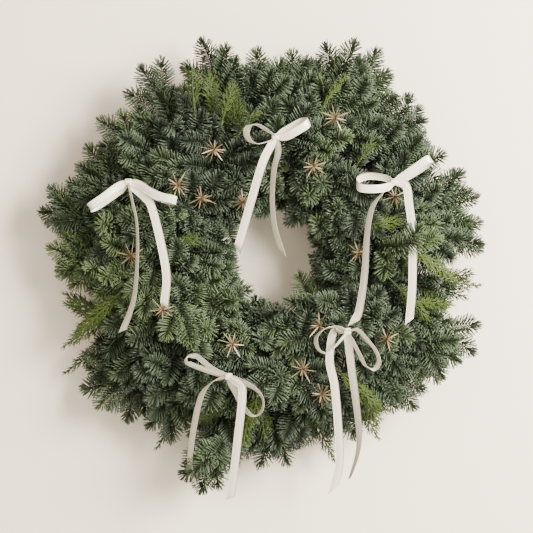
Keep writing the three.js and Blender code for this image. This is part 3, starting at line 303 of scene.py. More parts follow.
def tube(line, radius, sides, closed=False):
    """Points and faces of a round tube along a line."""
    points, faces = [], []
    across = Vector((0.1, 1, 0.2))
    count = len(line)
    for i, p in enumerate(line):
        before = line[i - 1] if closed or i else p
        after = line[(i + 1) % count] if closed or i + 1 < count else p
        ahead = (after - before).normalized()
        across = (across - ahead * across.dot(ahead)).normalized()
        other = ahead.cross(across)
        for j in range(sides):
            a = 2 * math.pi * j / sides
            points.append(p + (across * math.cos(a) + other * math.sin(a)) * radius)
    faces = skin(count, sides, closed)
    if not closed:
        faces.append(tuple(range(sides - 1, -1, -1)))
        faces.append(tuple((count - 1) * sides + j for j in range(sides)))
    return points, faces


def joined_parts(parts):
    points, faces = [], []
    for more, their_faces in parts:
        faces += [tuple(len(points) + k for k in face) for face in their_faces]
        points += more
    return points, faces


def ranged(tree, value, low=0.0, high=1.0, start=0.0, end=1.0, **settings):
    """A value that runs from start to end, made to run from low to high."""
    limits = {"From Min": start, "From Max": end, "To Min": low, "To Max": high}
    return node(tree, "ShaderNodeMapRange", {"Value": value, **limits}, **settings).outputs[0]


florist_wire, tree = material("florist_wire")
wear = noise(tree, object_place(tree), 120.0, 3.0)
finish(tree, {"Base Color": blend(tree, wear, (0.03, 0.06, 0.025), (0.09, 0.12, 0.06)), "Metallic": 0.6,
              "Roughness": ranged(tree, wear, 0.3, 0.5)})
wire_line = []
for k in range(WIRE_TURNS):
    wire_line += turn_points(90 + (k + 0.5) * 360 / WIRE_TURNS, 1.2)
wire_turns = mesh_of("wire_turns", *tube(smooth_line(wire_line, 4), WIRE_RADIUS, 8))
put("wire_turns", wire_turns, florist_wire, "binding_wire")

band = turn_points(90, 1.4)
eye = []
for i in range(EYE_STEPS):
    a = 2 * math.pi * i / EYE_STEPS
    eye.append(Vector((EYE_RADIUS * math.sin(a), -EYE_DEPTH,
                       HANGER_RADIUS - EYE_RADIUS + EYE_RADIUS * math.cos(a))))
twist = []
for i in range(25):
    a = 2 * math.pi * i / 8
    twist.append(Vector((TWIST_RADIUS * math.cos(a), -EYE_DEPTH + TWIST_RADIUS * math.sin(a),
                         1.9 - 2 * EYE_RADIUS - 0.1 * i)))
hanger = joined_parts([tube(smooth_line(band, 4, True), HANGER_RADIUS, 8, True),
                       tube(eye, HANGER_RADIUS, 10, True), tube(twist, 0.6, 6)])
put("hanging_eye", mesh_of("hanging_eye", *hanger), florist_wire, "hanging_loop")

# ---- Fir sprays ----
# Cut sprays of noble fir. Each has a stem pushed into the straw, a leader and side shoots in pairs, set
# with flat needles that part left and right of the shoot. Short sprigs fill the face between the long
# sprays, and all but two keep below the ribbons and stars that are laid on them.
OUT, IN = 35, 150
# By name: the angle its stem stands at, the side of the ring's section, its tone, and its tips by angle,
# reach and depth, the leader's first.
FIR_SPRAYS = [
    ("top", 93, OUT, 0.45, [(93, 255, 50), (97, 233, 62), (89, 227, 76)]),
    ("top_right", 80, OUT, 0.4, [(83, 254, 45), (79, 247, 58), (75, 247, 40)]),
    ("right_1", 68, OUT, 0.5, [(68, 284, 58), (70, 259, 44), (66, 232, 80)]),
    ("right_2", 59, OUT, 0.45, [(62, 286, 62), (56, 267, 52), (61, 247, 86)]),
    ("right_3", 47, OUT, 0.3, [(44, 262, 45), (48, 263, 56), (45, 228, 78)]),
    ("right_4", 34, OUT, 0.35, [(35, 234, 42), (30, 249, 58), (38, 236, 60), (36, 179, 88)]),
    ("right_5", 20, OUT, 0.5, [(16, 269, 40), (23, 261, 46), (22, 226, 66)]),
    ("right_6", 5, OUT, 0.4, [(9, 265, 44), (2, 263, 40), (5, 240, 58), (6, 208, 82)]),
    ("right_7", 339, OUT, 0.35, [(335, 280, 54), (334, 256, 40), (340, 237, 60)]),
    ("lower_1", 328, OUT, 0.6, [(331, 267, 62), (324, 261, 44), (328, 253, 52)]),
    ("lower_2", 316, OUT, 0.35, [(314, 261, 45), (319, 253, 55), (312, 239, 60)]),
    ("lower_3", 294, OUT, 0.3, [(296, 249, 42), (294, 234, 48), (289, 233, 40)]),
    ("lower_4", 273, OUT, 0.3, [(277, 240, 34), (273, 247, 40), (268, 259, 44), (265, 239, 50)]),
    ("lower_5", 254, OUT, 0.35, [(254, 303, 45), (249, 275, 50), (257, 280, 40), (260, 257, 32)]),
    ("left_1", 230, OUT, 0.45, [(242, 258, 46), (234, 245, 54), (230, 230, 66), (221, 214, 74)]),
    ("left_2", 217, OUT, 0.5, [(229, 270, 26), (216, 285, 25), (209, 258, 36)]),
    ("left_3", 185, OUT, 0.75, [(183, 259, 40), (178, 270, 46), (185, 235, 60), (184, 223, 74)]),
    ("left_4", 170, OUT, 0.5, [(169, 286, 40), (163, 282, 46), (173, 261, 36), (169, 207, 86)]),
    ("left_5", 156, OUT, 0.55, [(155, 254, 45), (149, 261, 46), (160, 256, 54)]),
    ("left_6", 139, OUT, 0.45, [(141, 267, 48), (131, 245, 50), (141, 231, 86)]),
    ("left_7", 125, OUT, 0.3, [(124, 280, 58), (120, 238, 50), (127, 200, 90)]),
    ("top_left", 104, OUT, 0.4, [(107, 279, 45), (100, 243, 50), (103, 259, 56)]),
    ("inner_1", 140, IN, 0.4, [(133, 58, 50), (160, 47, 60), (138, 93, 72), (111, 96, 80)]),
    ("inner_2", 215, IN, 0.6, [(238, 50, 45), (192, 46, 46), (233, 70, 78), (227, 123, 84)]),
    ("inner_3", 268, IN, 0.5, [(263, 60, 50), (279, 70, 80), (266, 110, 86)]),
    ("inner_4", 310, IN, 0.6, [(327, 47, 48), (303, 75, 60), (316, 90, 80), (274, 120, 76)]),
    ("inner_5", 5, IN, 0.4, [(14, 61, 58), (344, 64, 52), (36, 105, 88)]),
    ("inner_6", 50, IN, 0.3, [(57, 51, 46), (51, 66, 60), (55, 95, 82)]),
    ("inner_7", 92, IN, 0.4, [(95, 55, 50), (112, 67, 62), (86, 165, 90)]),
]
FACE_ON = (0.97, 0.1, -0.2)
# By name: the knot, the loops and the tails. Points are right of and above the ring's middle and off the
# wall. Then come the ways of the ribbon's width at its start, middle and end, and for a tail how far its
# end is drawn out to a slant, and on which side.
BOWS = {
    "top": ((9, 144, 106), [
        ([(9, 145, 107), (-2, 152, 112), (-13, 158, 118), (-23, 156, 122), (-26, 146, 122), (-20, 137, 118),
          (-9, 136, 112), (8, 142, 107)], [(0.1, 1, 0.1), (0.8, 0.6, 0), (0.1, 1, -0.1)]),
        ([(9, 144, 107), (23, 145, 111), (35, 151, 114), (46, 158, 113), (49, 163, 108), (41, 163, 101),
          (28, 156, 100), (10, 145, 104)], [(-0.4, 0.2, 0.85), (-0.4, 0.2, 0.85), (-0.4, 0.2, 0.85)])], [
        ([(9, 143, 107), (-2, 123, 110), (-9, 105, 112), (-19, 71, 108), (-25, 50, 104), (-36, 12, 98)],
         [(0.9, 0.1, -0.4), (0.9, 0.1, -0.35), (0.95, 0.1, -0.3)], 9, 1),
        ([(9, 143, 106), (12, 126, 110), (7, 104, 110), (5, 68, 106), (8, 35, 102), (16, 8, 100)],
         [(0.8, 0.6, 0), (0.55, 0.83, 0), (0.6, 0.8, 0)], 10, 1)]),
    "left": ((-171, 90, 92), [
        ([(-171, 90, 93), (-184, 84, 97), (-199, 72, 103), (-213, 62, 105), (-218, 58, 100), (-211, 60, 94),
          (-197, 69, 92), (-173, 86, 91)], [(-0.5, 0.35, 0.75), (-0.5, 0.15, 0.85), (-0.5, 0.35, 0.75)]),
        ([(-171, 90, 93), (-157, 87, 97), (-145, 79, 102), (-130, 72, 106), (-117, 69, 106), (-112, 67, 101),
          (-119, 67, 95), (-134, 72, 92), (-149, 80, 91), (-170, 88, 90)],
         [(0.3, 0.1, 0.95), (0.2, 0.1, 0.97), (0.3, 0.1, 0.95)])], [
        ([(-171, 89, 93), (-166, 68, 100), (-160, 40, 103), (-159, 1, 104), (-162, -44, 104),
          (-168, -68, 102), (-176, -88, 99)], [(0.3, 0.95, 0), (0.4, 0.9, 0), (0.75, 0.65, -0.2)], 9, -1),
        ([(-171, 89, 92), (-150, 71, 96), (-141, 57, 100), (-129, 11, 108), (-123, -26, 110),
          (-126, -58, 106)],
         [(0.6, 0.1, 0.8), FACE_ON, FACE_ON], 5, 1)]),
    "right": ((154, 90, 96), [
        ([(154, 90, 97), (142, 95, 99), (124, 97, 101), (112, 94, 104), (108, 88, 108), (113, 82, 112),
          (129, 81, 111), (143, 83, 105), (153, 88, 98)], [(0, 0.8, 0.6), (0, 0.3, 0.95), (0, 0.1, 1)]),
        ([(154, 90, 97), (167, 98, 100), (181, 108, 102), (194, 117, 102), (199, 117, 96), (191, 110, 91),
          (177, 101, 90), (164, 94, 92), (155, 91, 94)],
         [(-0.4, 0.15, 0.85), (-0.55, 0.15, 0.8), (-0.4, 0.15, 0.85)])], [
        ([(154, 89, 97), (138, 75, 102), (126, 57, 106), (120, 25, 108), (117, -23, 110), (111, -65, 106),
          (107, -76, 104)], [(0.5, 0.7, 0.5), (0.6, 0.8, 0), (0.95, 0.3, -0.1)], 14, -1),
        ([(154, 89, 96), (168, 86, 99), (172, 63, 102), (176, 25, 102), (176, -36, 100), (173, -76, 96)],
         [(0.4, 0.1, 0.9), FACE_ON, (0.97, 0.2, 0)], 9, -1)]),
    "lower_right": ((96, -92, 110), [
        ([(96, -92, 111), (81, -86, 116), (67, -89, 120), (58, -99, 122), (60, -112, 120), (70, -118, 117),
          (81, -110, 114), (95, -94, 111)], [(0.3, 0.85, 0.3), (0.4, 0.85, 0.1), (-0.3, 0.85, 0.3)]),
        ([(96, -92, 111), (108, -90, 114), (119, -101, 117), (130, -115, 118), (134, -128, 117),
          (128, -137, 115), (118, -133, 113), (111, -120, 111), (98, -95, 110)],
         [(0.4, 0.85, 0.4), (0.4, 0.85, -0.2), (0.5, 0.8, -0.2)])], [
        ([(96, -92, 109), (80, -93, 105), (75, -127, 107), (81, -158, 105), (86, -210, 92), (88, -254, 80),
          (82, -283, 74)], [(0.7, 0.4, 0.6), FACE_ON, FACE_ON], 14, -1),
        ([(96, -92, 109), (99, -115, 104), (102, -140, 102), (107, -176, 96), (112, -219, 84),
          (110, -245, 78), (102, -272, 72)], [FACE_ON, (0.8, 0.6, 0), (0.2, 0.98, 0)], 8, -1)]),
    "lower_left": ((-48, -147, 104), [
        ([(-48, -147, 105), (-65, -139, 108), (-79, -128, 110), (-87, -122, 111), (-96, -123, 110),
          (-98, -129, 107), (-89, -134, 105), (-64, -143, 103), (-50, -147, 103)],
         [(0.3, 0.7, 0.6), (0.3, 0.8, 0.5), (0.3, 0.7, 0.6)]),
        ([(-48, -147, 105), (-33, -153, 108), (-17, -160, 111), (-7, -172, 113), (-7, -186, 113),
          (-16, -194, 110), (-28, -187, 106), (-40, -165, 103), (-49, -149, 102)],
         [(-0.3, 0.3, 0.9), (0.3, 0.95, 0.1), (0.8, 0.5, 0.3)])], [
        ([(-48, -147, 103), (-68, -154, 101), (-81, -170, 104), (-90, -206, 100), (-96, -250, 88),
          (-93, -272, 81)], [(0.4, 0.8, 0.5), (0.7, 0.7, 0.1), (0.6, 0.8, 0)], 12, 1),
        ([(-48, -147, 105), (-33, -157, 114), (-31, -171, 116), (-33, -192, 112), (-37, -225, 100),
          (-41, -259, 88), (-46, -296, 77)], [(0.6, 0.3, 0.7), FACE_ON, FACE_ON], 6, -1)]),
}
# By angle, reach and depth.
STARS = [
    (117, 146, 92), (142, 140, 92), (139, 108, 90), (180, 168, 88), (207, 145, 92), (64, 188, 92),
    (63, 123, 92), (2, 111, 90), (248, 116, 96), (291, 182, 92), (287, 146, 84), (306, 106, 90),
    (325, 178, 88), (25, 172, 82), (115, 73, 88),
]
STEM_DEPTH = 14
STEM_NECK = 6
STEM_SQUARE = 0.8
LEADER_BEND, SPRIG_BEND = 0.42, 0.5
RIBBON_ROOM, RIBBON_REACH = 13, 11
STAR_ROOM, STAR_REACH = 15, 13
HIGHEST_FOLIAGE = 96.0
LOWEST_FOLIAGE = 6.0
PRESS_REACH = 18
PRESS_SLOPE = 1.6


def section_edge(side):
    """Where a ray at an angle from the section's middle leaves the ring."""
    way = Vector((math.cos(math.radians(side)), math.sin(math.radians(side))))
    far = 0
    for i, p in enumerate(RING_SECTION):
        p, q = Vector(p), Vector(RING_SECTION[(i + 1) % len(RING_SECTION)])
        edge, start = q - p, p - SECTION_MIDDLE
        cross = way.x * edge.y - way.y * edge.x
        reach = (start.x * edge.y - start.y * edge.x) / cross
        share = (start.x * way.y - start.y * way.x) / cross
        if reach > 0 and 0 <= share <= 1:
            far = max(far, reach)
    return SECTION_MIDDLE + way * far, way


def ring_surface(angle, side):
    """A place on the ring's surface, and the section's way out there."""
    edge, outward = section_edge(side)
    return spot(angle, RING_RADIUS + edge.x, edge.y), outward


def stem_start(angle, side, tip):
    """A stem's root in the straw, its neck just outside, and the way it leaves."""
    surface, outward = ring_surface(angle, side)
    a = math.radians(angle)
    square = Vector((outward.x * math.cos(a), -outward.y, outward.x * math.sin(a)))
    way = (square * STEM_SQUARE + (tip - surface).normalized()).normalized()
    return surface - way * STEM_DEPTH, surface + way * STEM_NECK, way


def spray_start(angle, side, tips):
    """A long spray's places, its stem's root, neck and way out, and the point that bends its leader."""
    places = [spot(*tip) for tip in tips]
    root, neck, way = stem_start(angle, side, places[0])
    return places, root, neck, way, neck + way * (places[0] - neck).length * LEADER_BEND


def curve_line(a, b, c, count):
    return [bent(a, b, c, i / count) for i in range(count + 1)]


# The places of ribbons and stars seen from the front, each with the depth that foliage keeps below and how
# far round it does so.
LAID_ON = []
for _, loops, tails in BOWS.values():
    for strip in loops + tails:
        line = smooth_line([Vector(p) for p in strip[0]], 8)
        LAID_ON += [(p.x, p.y, p.z - RIBBON_ROOM, RIBBON_REACH) for p in line]
for angle, reach, depth in STARS:
    a = math.radians(angle)
    LAID_ON.append((reach * math.cos(a), reach * math.sin(a), depth - STAR_ROOM, STAR_REACH))
laid_tree = KDTree(len(LAID_ON))
for i, laid in enumerate(LAID_ON):
    laid_tree.insert((*laid[:2], 0), i)
laid_tree.balance()


def below(points):
    """The points, pressed back where a ribbon or star lies over them."""
    pressed = []
    for p in points:
        highest = HIGHEST_FOLIAGE
        for _, i, away in laid_tree.find_range((p.x, p.z - CENTRE_Z, 0), PRESS_REACH):
            depth, around = LAID_ON[i][2:]
            highest = min(highest, depth + max(0.0, away - around) * PRESS_SLOPE)
        pressed.append(Vector((p.x, min(max(p.y, -highest), -LOWEST_FOLIAGE), p.z)))
    return pressed


BUD_RUN = 8.0
BUD_GIRTH = (0.5, 0.4)


class Twigs:
    """The lines of one spray, with each point's girth and tone, the way its foliage faces, how far round
    the twig its needles stand, and whether it has any."""

    def __init__(self):
        self.points, self.edges = [], []
        self.marks = {"girth": [], "tone": [], "round": [], "leafy": []}
        self.face = []
        self.pressed = True

    def line(self, points, thick, thin, tone, face, all_round=0.0, bare=0.0):
        start = len(self.points)
        for i, p in enumerate(below(points) if self.pressed else points):
            share = i / (len(points) - 1)
            self.points.append(p)
            self.marks["girth"].append((thick + (thin - thick) * share) * MM)
            self.marks["tone"].append(tone)
            self.marks["round"].append(all_round)
            self.marks["leafy"].append(share * 100 - bare * 100)
            self.face.append(face)
            if i:
                self.edges.append((start + i - 1, start + i))

    def bud(self, points, tone, face, all_round):
        """The crowded needles of a shoot's last few millimetres."""
        end = points[-1]
        back = (points[-2] - end).normalized()
        self.line([end + back * BUD_RUN, end], *BUD_GIRTH, tone, face, all_round)

    def mesh(self, name):
        mesh = bpy.data.meshes.new(name)
        mesh.from_pydata([p * MM for p in self.points], self.edges, [])
        for mark, values in self.marks.items():
            mesh.attributes.new(mark, "FLOAT", "POINT").data.foreach_set("value", values)
        faces = [value for way in self.face for value in way]
        mesh.attributes.new("face", "FLOAT_VECTOR", "POINT").data.foreach_set("vector", faces)
        return mesh


def point_along(line, run):
    """The point at a run along a line and the way ahead there."""
    for a, b in zip(line, line[1:]):
        step = (b - a).length
        if run <= step:
            break
        run -= step
    return a.lerp(b, min(run / step, 1.0)), (b - a).normalized()


def length_of(line):
    return sum((b - a).length for a, b in zip(line, line[1:]))


def facing_of(draws, ahead, tilt=0.4):
    """The way a flat spray shows its face: mostly to the front."""
    face = Vector((draws.uniform(-tilt, tilt), -1, draws.uniform(-tilt, tilt)))
    face -= ahead * face.dot(ahead)
    return face.normalized()


# Patches that are fresher than the rest, and darker ones that are painted shade: angle, reach, size and
# change of tone.
FRESH_AND_PAINTED_SHADE_PATCHES = [
    (171, 208, 22, 0.35), (176, 245, 34, 0.28), (186, 225, 24, 0.2), (56, 94, 20, 0.3), (55, 116, 24, 0.25),
    (37, 108, 20, 0.2), (10, 208, 24, 0.3), (228, 122, 20, 0.2), (250, 104, 18, 0.2), (136, 245, 30, -0.05),
    (126, 160, 52, -0.95), (137, 118, 36, -0.7), (68, 140, 36, -0.8), (217, 168, 38, -0.9),
    (272, 232, 30, -0.5), (105, 130, 26, -0.5), (352, 132, 30, -0.5), (20, 140, 26, -0.4),
    (295, 170, 24, -0.4), (190, 130, 24, -0.4), (333, 252, 24, -0.2), (150, 220, 30, -0.12),
    (303, 210, 30, 0.15), (225, 90, 30, 0.2), (262, 110, 26, 0.15),
]
PATCH_FADE = 1.4
FIRST_PAIR = (40, 52)
PAIR_STEP, PAIR_SPREAD = 46.0, (0.8, 1.25)
SHOOT_ANGLE = (38, 52)
SHOOT_SHARE, SHORTEST_SHOOT = 0.8, 6
SHOOT_SPREAD = (0.8, 1.1)
SHOOT_GIRTH = (0.8, 0.55)
SHOOT_TONE = (-0.12, 0.16)
MISSING_SHOOTS = 0.12
SPRIG_STEM, TWIG_TIP = 1.2, 0.7
TO_FRONT = Vector((0, -1, 0))


# A spray's change of tone from the patches near its tip; the darker patches are painted shade.
def tone_with_painted_shade_at(p):
    tone = 0.0
    for angle, reach, size, change in FRESH_AND_PAINTED_SHADE_PATCHES:
        away = p - spot(angle, reach, -p.y)
        tone += change * max(0.0, 1 - away.length / size / PATCH_FADE)
    return tone


def grow_fir_twig(twigs, line, thick, tone, draws, all_round=0.0, bare=0.22, longest=62):
    """A twig with pairs of side shoots, the longest furthest from its tip."""
    total = length_of(line)
    ahead = (line[-1] - line[0]).normalized()
    facing = facing_of(draws, ahead)
    tone += tone_with_painted_shade_at(line[-1]) + draws.uniform(-0.1, 0.1)
    twigs.line(line, thick, TWIG_TIP, tone, facing, all_round, bare)
    twigs.bud(line, tone, facing, all_round)
    back = draws.uniform(*FIRST_PAIR)
    while total - back > total * bare:
        for side in (-1, 1):
            if draws.random() < MISSING_SHOOTS:
                continue
            at, ahead = point_along(line, total - back - side * draws.uniform(0, 4))
            across = facing.cross(ahead).normalized() * side
            angle = math.radians(draws.uniform(*SHOOT_ANGLE))
            reach = min(longest, back * SHOOT_SHARE + SHORTEST_SHOOT) * draws.uniform(*SHOOT_SPREAD)
            way = (ahead * math.cos(angle) + across * math.sin(angle) + facing * draws.uniform(-0.15, 0.35))
            way.normalize()
            end = at + (way + ahead * 0.22).normalized() * reach
            shoot = curve_line(at, at + way * reach * 0.5, end, 3)
            shoot_tone = tone + draws.uniform(*SHOOT_TONE)
            twigs.line(shoot, *SHOOT_GIRTH, shoot_tone, facing, all_round * 0.5, 0.1)
            twigs.bud(shoot, shoot_tone, facing, all_round * 0.5)
        back += draws.uniform(*PAIR_SPREAD) * PAIR_STEP


FIRST_FORK, FORK_STEP = 0.42, 0.1
FORK_AHEAD, FORK_OFF = 0.18, 0.26


def long_spray(index, angle, side, tone, tips):
    """A long spray: its stem, the leader, and the twigs that fork from the leader."""
    draws = random.Random(100 + index)
    twigs = Twigs()
    places, root, neck, _, control = spray_start(angle, side, tips)
    twigs.line([root, neck], 2.0, 1.7, tone, TO_FRONT, 0, 1)
    grow_fir_twig(twigs, curve_line(neck, control, places[0], 8), 1.7, tone, draws)
    for i, tip in enumerate(places[1:]):
        share = FIRST_FORK - FORK_STEP * i
        fork = bent(neck, control, places[0], share)
        ahead = (control.lerp(places[0], share) - neck.lerp(control, share)).normalized()
        reach = (tip - fork).length
        middle = fork + ahead * reach * FORK_AHEAD + (tip - fork) * FORK_OFF
        grow_fir_twig(twigs, curve_line(fork, middle, tip, 7), SPRIG_STEM, tone, draws, longest=50)
    return twigs


# Short sprigs that fill the ring: how many in the circle, the side of the ring they start on, the reach
# and depth of their tips, and how far they lean sideways.
FIR_FILL = [
    (26, 8, 202, 16, 8), (14, 170, 86, 16, 8), (28, 20, 230, 30, 9), (28, 35, 232, 50, 10),
    (24, 50, 216, 64, 12), (20, 60, 198, 74, 18), (15, 76, 174, 85, 28), (13, 92, 144, 91, 32),
    (13, 108, 116, 87, 34), (14, 128, 92, 76, 24), (15, 150, 74, 58, 12), (14, 165, 68, 38, 12),
    (24, 62, 160, 54, 30), (22, 85, 150, 60, 34), (20, 96, 126, 58, 34), (18, 120, 104, 56, 30),
]
INNER_SIDE = 110
FACE_DEPTH = 88
FILL_TONE = 0.32
PAINTED_SHADE_BY_DEPTH = 0.009


def nearest_spray(angle, inner):
    """Which of the long sprays a short sprig belongs to."""
    def away(index):
        at, side = FIR_SPRAYS[index][1:3]
        turn = abs((at - angle + 180) % 360 - 180)
        return turn + (180 if (side == IN) != inner else 0)
    return min(range(len(FIR_SPRAYS)), key=away)


def short_sprig(twigs, angle, side, tip, tone, draws):
    """A sprig from the straw to its tip."""
    root, neck, way = stem_start(angle, side, tip)
    control = neck + way * (tip - neck).length * SPRIG_BEND
    grow_fir_twig(twigs, curve_line(root, control, tip, 7), SPRIG_STEM, tone, draws, bare=0.3, longest=42)


def fill_sprigs(sprays):
    """The short sprigs, in circles round the ring. Deeper ones are darker, as painted shade."""
    draws = random.Random(77)
    for count, side, reach, depth, lean in FIR_FILL:
        for i in range(count):
            angle = 360 * (i + draws.uniform(-0.4, 0.4)) / count + side
            index = nearest_spray(angle % 360, side > INNER_SIDE)
            tone = FIR_SPRAYS[index][3] + draws.uniform(-FILL_TONE, FILL_TONE)
            # Painted shade: the deeper a sprig lies, the darker its tone.
            tone -= (FACE_DEPTH - depth) * PAINTED_SHADE_BY_DEPTH
            turn = draws.choice((-1, 1)) * draws.uniform(0.4, 1.2) * lean
            tip = spot(angle + turn, reach + draws.uniform(-10, 8), depth + draws.uniform(-8, 6))
            short_sprig(sprays[index], angle, side, tip, tone, draws)


# Sprigs at places of their own: round the hole, then rosettes that point to the front, each by its tip's
# angle, reach and depth, then two over a ribbon's tail, with their start and middle before the tip.
RIM_TIPS = [
    (166, 54, 62), (172, 48, 44), (181, 46, 54), (188, 47, 40), (196, 50, 58), (204, 50, 44), (213, 52, 56),
    (222, 52, 42), (176, 62, 74), (192, 64, 76), (206, 68, 76), (232, 56, 54), (58, 54, 56), (100, 56, 44),
    (352, 62, 44), (24, 62, 50),
]
ROSETTES = [
    (53, 111, 94), (56, 89, 90), (36, 105, 92), (169, 206, 92), (11, 207, 88), (230, 118, 92), (250, 102, 90),
    (116, 99, 92), (70, 160, 90), (150, 120, 90), (212, 140, 90), (335, 150, 92), (275, 150, 92),
]
OVER_RIBBON = [
    ((3, 136, 64), (4, 165, 138), (6.5, 208, 94)), ((257, 232, 50), (254, 256, 100), (250.5, 280, 86)),
]
RIM_SIDE, RIM_TONE = 128, -0.05
ROSETTE_OUT, ROSETTE_IN, ROSETTE_TONE = 60, 110, 0.12
ROSETTE_STEM = Vector((0, 36, 0))


def placed_sprigs(sprays):
    """The sprigs that stand at places of their own."""
    draws = random.Random(91)
    for tip in RIM_TIPS:
        index = nearest_spray(tip[0], True)
        angle = tip[0] + draws.uniform(-12, 12)
        short_sprig(sprays[index], angle, RIM_SIDE, spot(*tip), FIR_SPRAYS[index][3] + RIM_TONE, draws)
    for tip in ROSETTES:
        index = nearest_spray(tip[0], tip[1] < RING_RADIUS)
        end = spot(*tip)
        side = ROSETTE_OUT if tip[1] > RING_RADIUS else ROSETTE_IN
        stem = curve_line(stem_start(tip[0], side, end)[0], end + ROSETTE_STEM, end, 8)
        tone = FIR_SPRAYS[index][3] + ROSETTE_TONE
        grow_fir_twig(sprays[index], stem, SPRIG_STEM, tone, draws, 1.0, 0.4, 30)
    for start, middle, tip in OVER_RIBBON:
        twigs = sprays[nearest_spray(tip[0], False)]
        twigs.pressed = False
        stem = curve_line(spot(*start), spot(*middle), spot(*tip), 9)
        grow_fir_twig(twigs, stem, SPRIG_STEM, 0.5, draws, 0.0, 0.1, 24)
        twigs.pressed = True


def add_sockets(tree, way, kind, *labels):
    for label in labels:
        tree.interface.new_socket(label, in_out=way, socket_type="NodeSocket" + kind)


def named(tree, name, kind="FLOAT"):
    return node(tree, "GeometryNodeInputNamedAttribute", {"Name": name}, data_type=kind).outputs[0]


def stored(tree, shape, name, value, domain):
    inputs = {"Geometry": shape, "Name": name, "Value": value}
    return node(tree, "GeometryNodeStoreNamedAttribute", inputs, domain=domain).outputs[0]


def drawn_between(tree, low, high, seed):
    inputs = {2: low, 3: high, "Seed": seed}
    return node(tree, "FunctionNodeRandomValue", inputs, data_type="FLOAT").outputs[1]


def foliage_tree(name, place_leaves):
    """A Geometry Nodes tree that thickens twig lines and sets copies of one leaf along them."""
    tree = bpy.data.node_groups.new(name, "GeometryNodeTree")
    add_sockets(tree, "INPUT", "Geometry", "Lines")
    add_sockets(tree, "INPUT", "Object", "Leaf")
    add_sockets(tree, "INPUT", "Float", "Spacing", "Lean", "Tip lean", "Tip run", "Size")
    add_sockets(tree, "INPUT", "Int", "Seed")
    add_sockets(tree, "INPUT", "Material", "Bark", "Foliage")
    add_sockets(tree, "OUTPUT", "Geometry", "Spray")
    given = node(tree, "NodeGroupInput").outputs
    lines = node(tree, "GeometryNodeMeshToCurve", {"Mesh": given["Lines"]}).outputs[0]
    factor = node(tree, "GeometryNodeSplineParameter").outputs["Factor"]
    length = node(tree, "GeometryNodeSplineLength").outputs["Length"]
    left = maths(tree, "MULTIPLY", maths(tree, "SUBTRACT", 1.0, factor), length)
    marked = stored(tree, lines, "left", left, "POINT")
    profile = node(tree, "GeometryNodeCurvePrimitiveCircle", {"Resolution": 5, "Radius": 1.0}).outputs[0]
    twig = node(tree, "GeometryNodeCurveToMesh",
                {"Curve": marked, "Profile Curve": profile, "Scale": named(tree, "girth"),
                 "Fill Caps": True}).outputs[0]
    spaced = node(tree, "GeometryNodeResampleCurve", {"Curve": marked, "Length": given["Spacing"]},
                  mode="LENGTH").outputs[0]
    points = node(tree, "GeometryNodeCurveToPoints", {"Curve": spaced}, mode="EVALUATED")
    near_tip = ranged(tree, named(tree, "left"), end=given["Tip run"], interpolation_type="SMOOTHSTEP")
    leaves = place_leaves(tree, given, points, near_tip)
    shaded = stored(tree, leaves, "shade", drawn_between(tree, 0.0, 1.0, given["Seed"]), "INSTANCE")
    real = node(tree, "GeometryNodeRealizeInstances", {"Geometry": shaded}).outputs[0]
    both = node(tree, "GeometryNodeJoinGeometry")
    for shape, coat in ((twig, "Bark"), (real, "Foliage")):
        coated = node(tree, "GeometryNodeSetMaterial", {"Geometry": shape, "Material": given[coat]})
        tree.links.new(coated.outputs[0], both.inputs[0])
    node(tree, "NodeGroupOutput", {"Spray": both.outputs[0]})
    return tree


def turned(tree, rotation, axis, angle):
    """A rotation turned on about one of its own axes."""
    euler = node(tree, "ShaderNodeCombineXYZ", {axis: angle}).outputs[0]
    by = node(tree, "FunctionNodeEulerToRotation", {0: euler}).outputs[0]
    return node(tree, "FunctionNodeRotateRotation", {0: rotation, 1: by}, rotation_space="LOCAL").outputs[0]


def flat_on(tree, points):
    """The way a leaf lies along its twig, with its face as the spray's."""
    return node(tree, "FunctionNodeAxesToRotation",
                {0: points.outputs["Tangent"], 1: named(tree, "face", "FLOAT_VECTOR")}).outputs[0]


def leaf_size(tree, given, near_tip, low, high, seed):
    """Leaves of uneven size, smaller towards the tip."""
    size = maths(tree, "MULTIPLY", ranged(tree, near_tip, 0.6, 1.0), given["Size"])
    return maths(tree, "MULTIPLY", size, drawn_between(tree, low, high, seed))


def leaves_on(tree, given, points, rotation, size):
    """Copies of the leaf at the points of each twig's leafy part."""
    leaf = node(tree, "GeometryNodeObjectInfo", {"Object": given["Leaf"]}).outputs["Geometry"]
    leafy = node(tree, "FunctionNodeCompare", {0: named(tree, "leafy"), 1: 0.0}, operation="GREATER_THAN",
                 data_type="FLOAT").outputs[0]
    return node(tree, "GeometryNodeInstanceOnPoints",
                {"Points": points.outputs[0], "Selection": leafy, "Instance": leaf, "Rotation": rotation,
                 "Scale": size}).outputs[0]


def side_of(tree):
    """1 and -1 by turns along the twig."""
    index = node(tree, "GeometryNodeInputIndex").outputs[0]
    return maths(tree, "MULTIPLY_ADD", maths(tree, "MODULO", index, 2.0), 2.0, -1.0)


GOLDEN_TURN = 2.39996
NEEDLE_ROWS = 3.0
ROW_STEP, ROW_SPREAD = 0.33, 0.07
EDGE_ROLL, ROLL_BY_ROW = 1.6, -1.5
ROLL_SPREAD = 0.08
LEAN_BY_ROW = -0.22


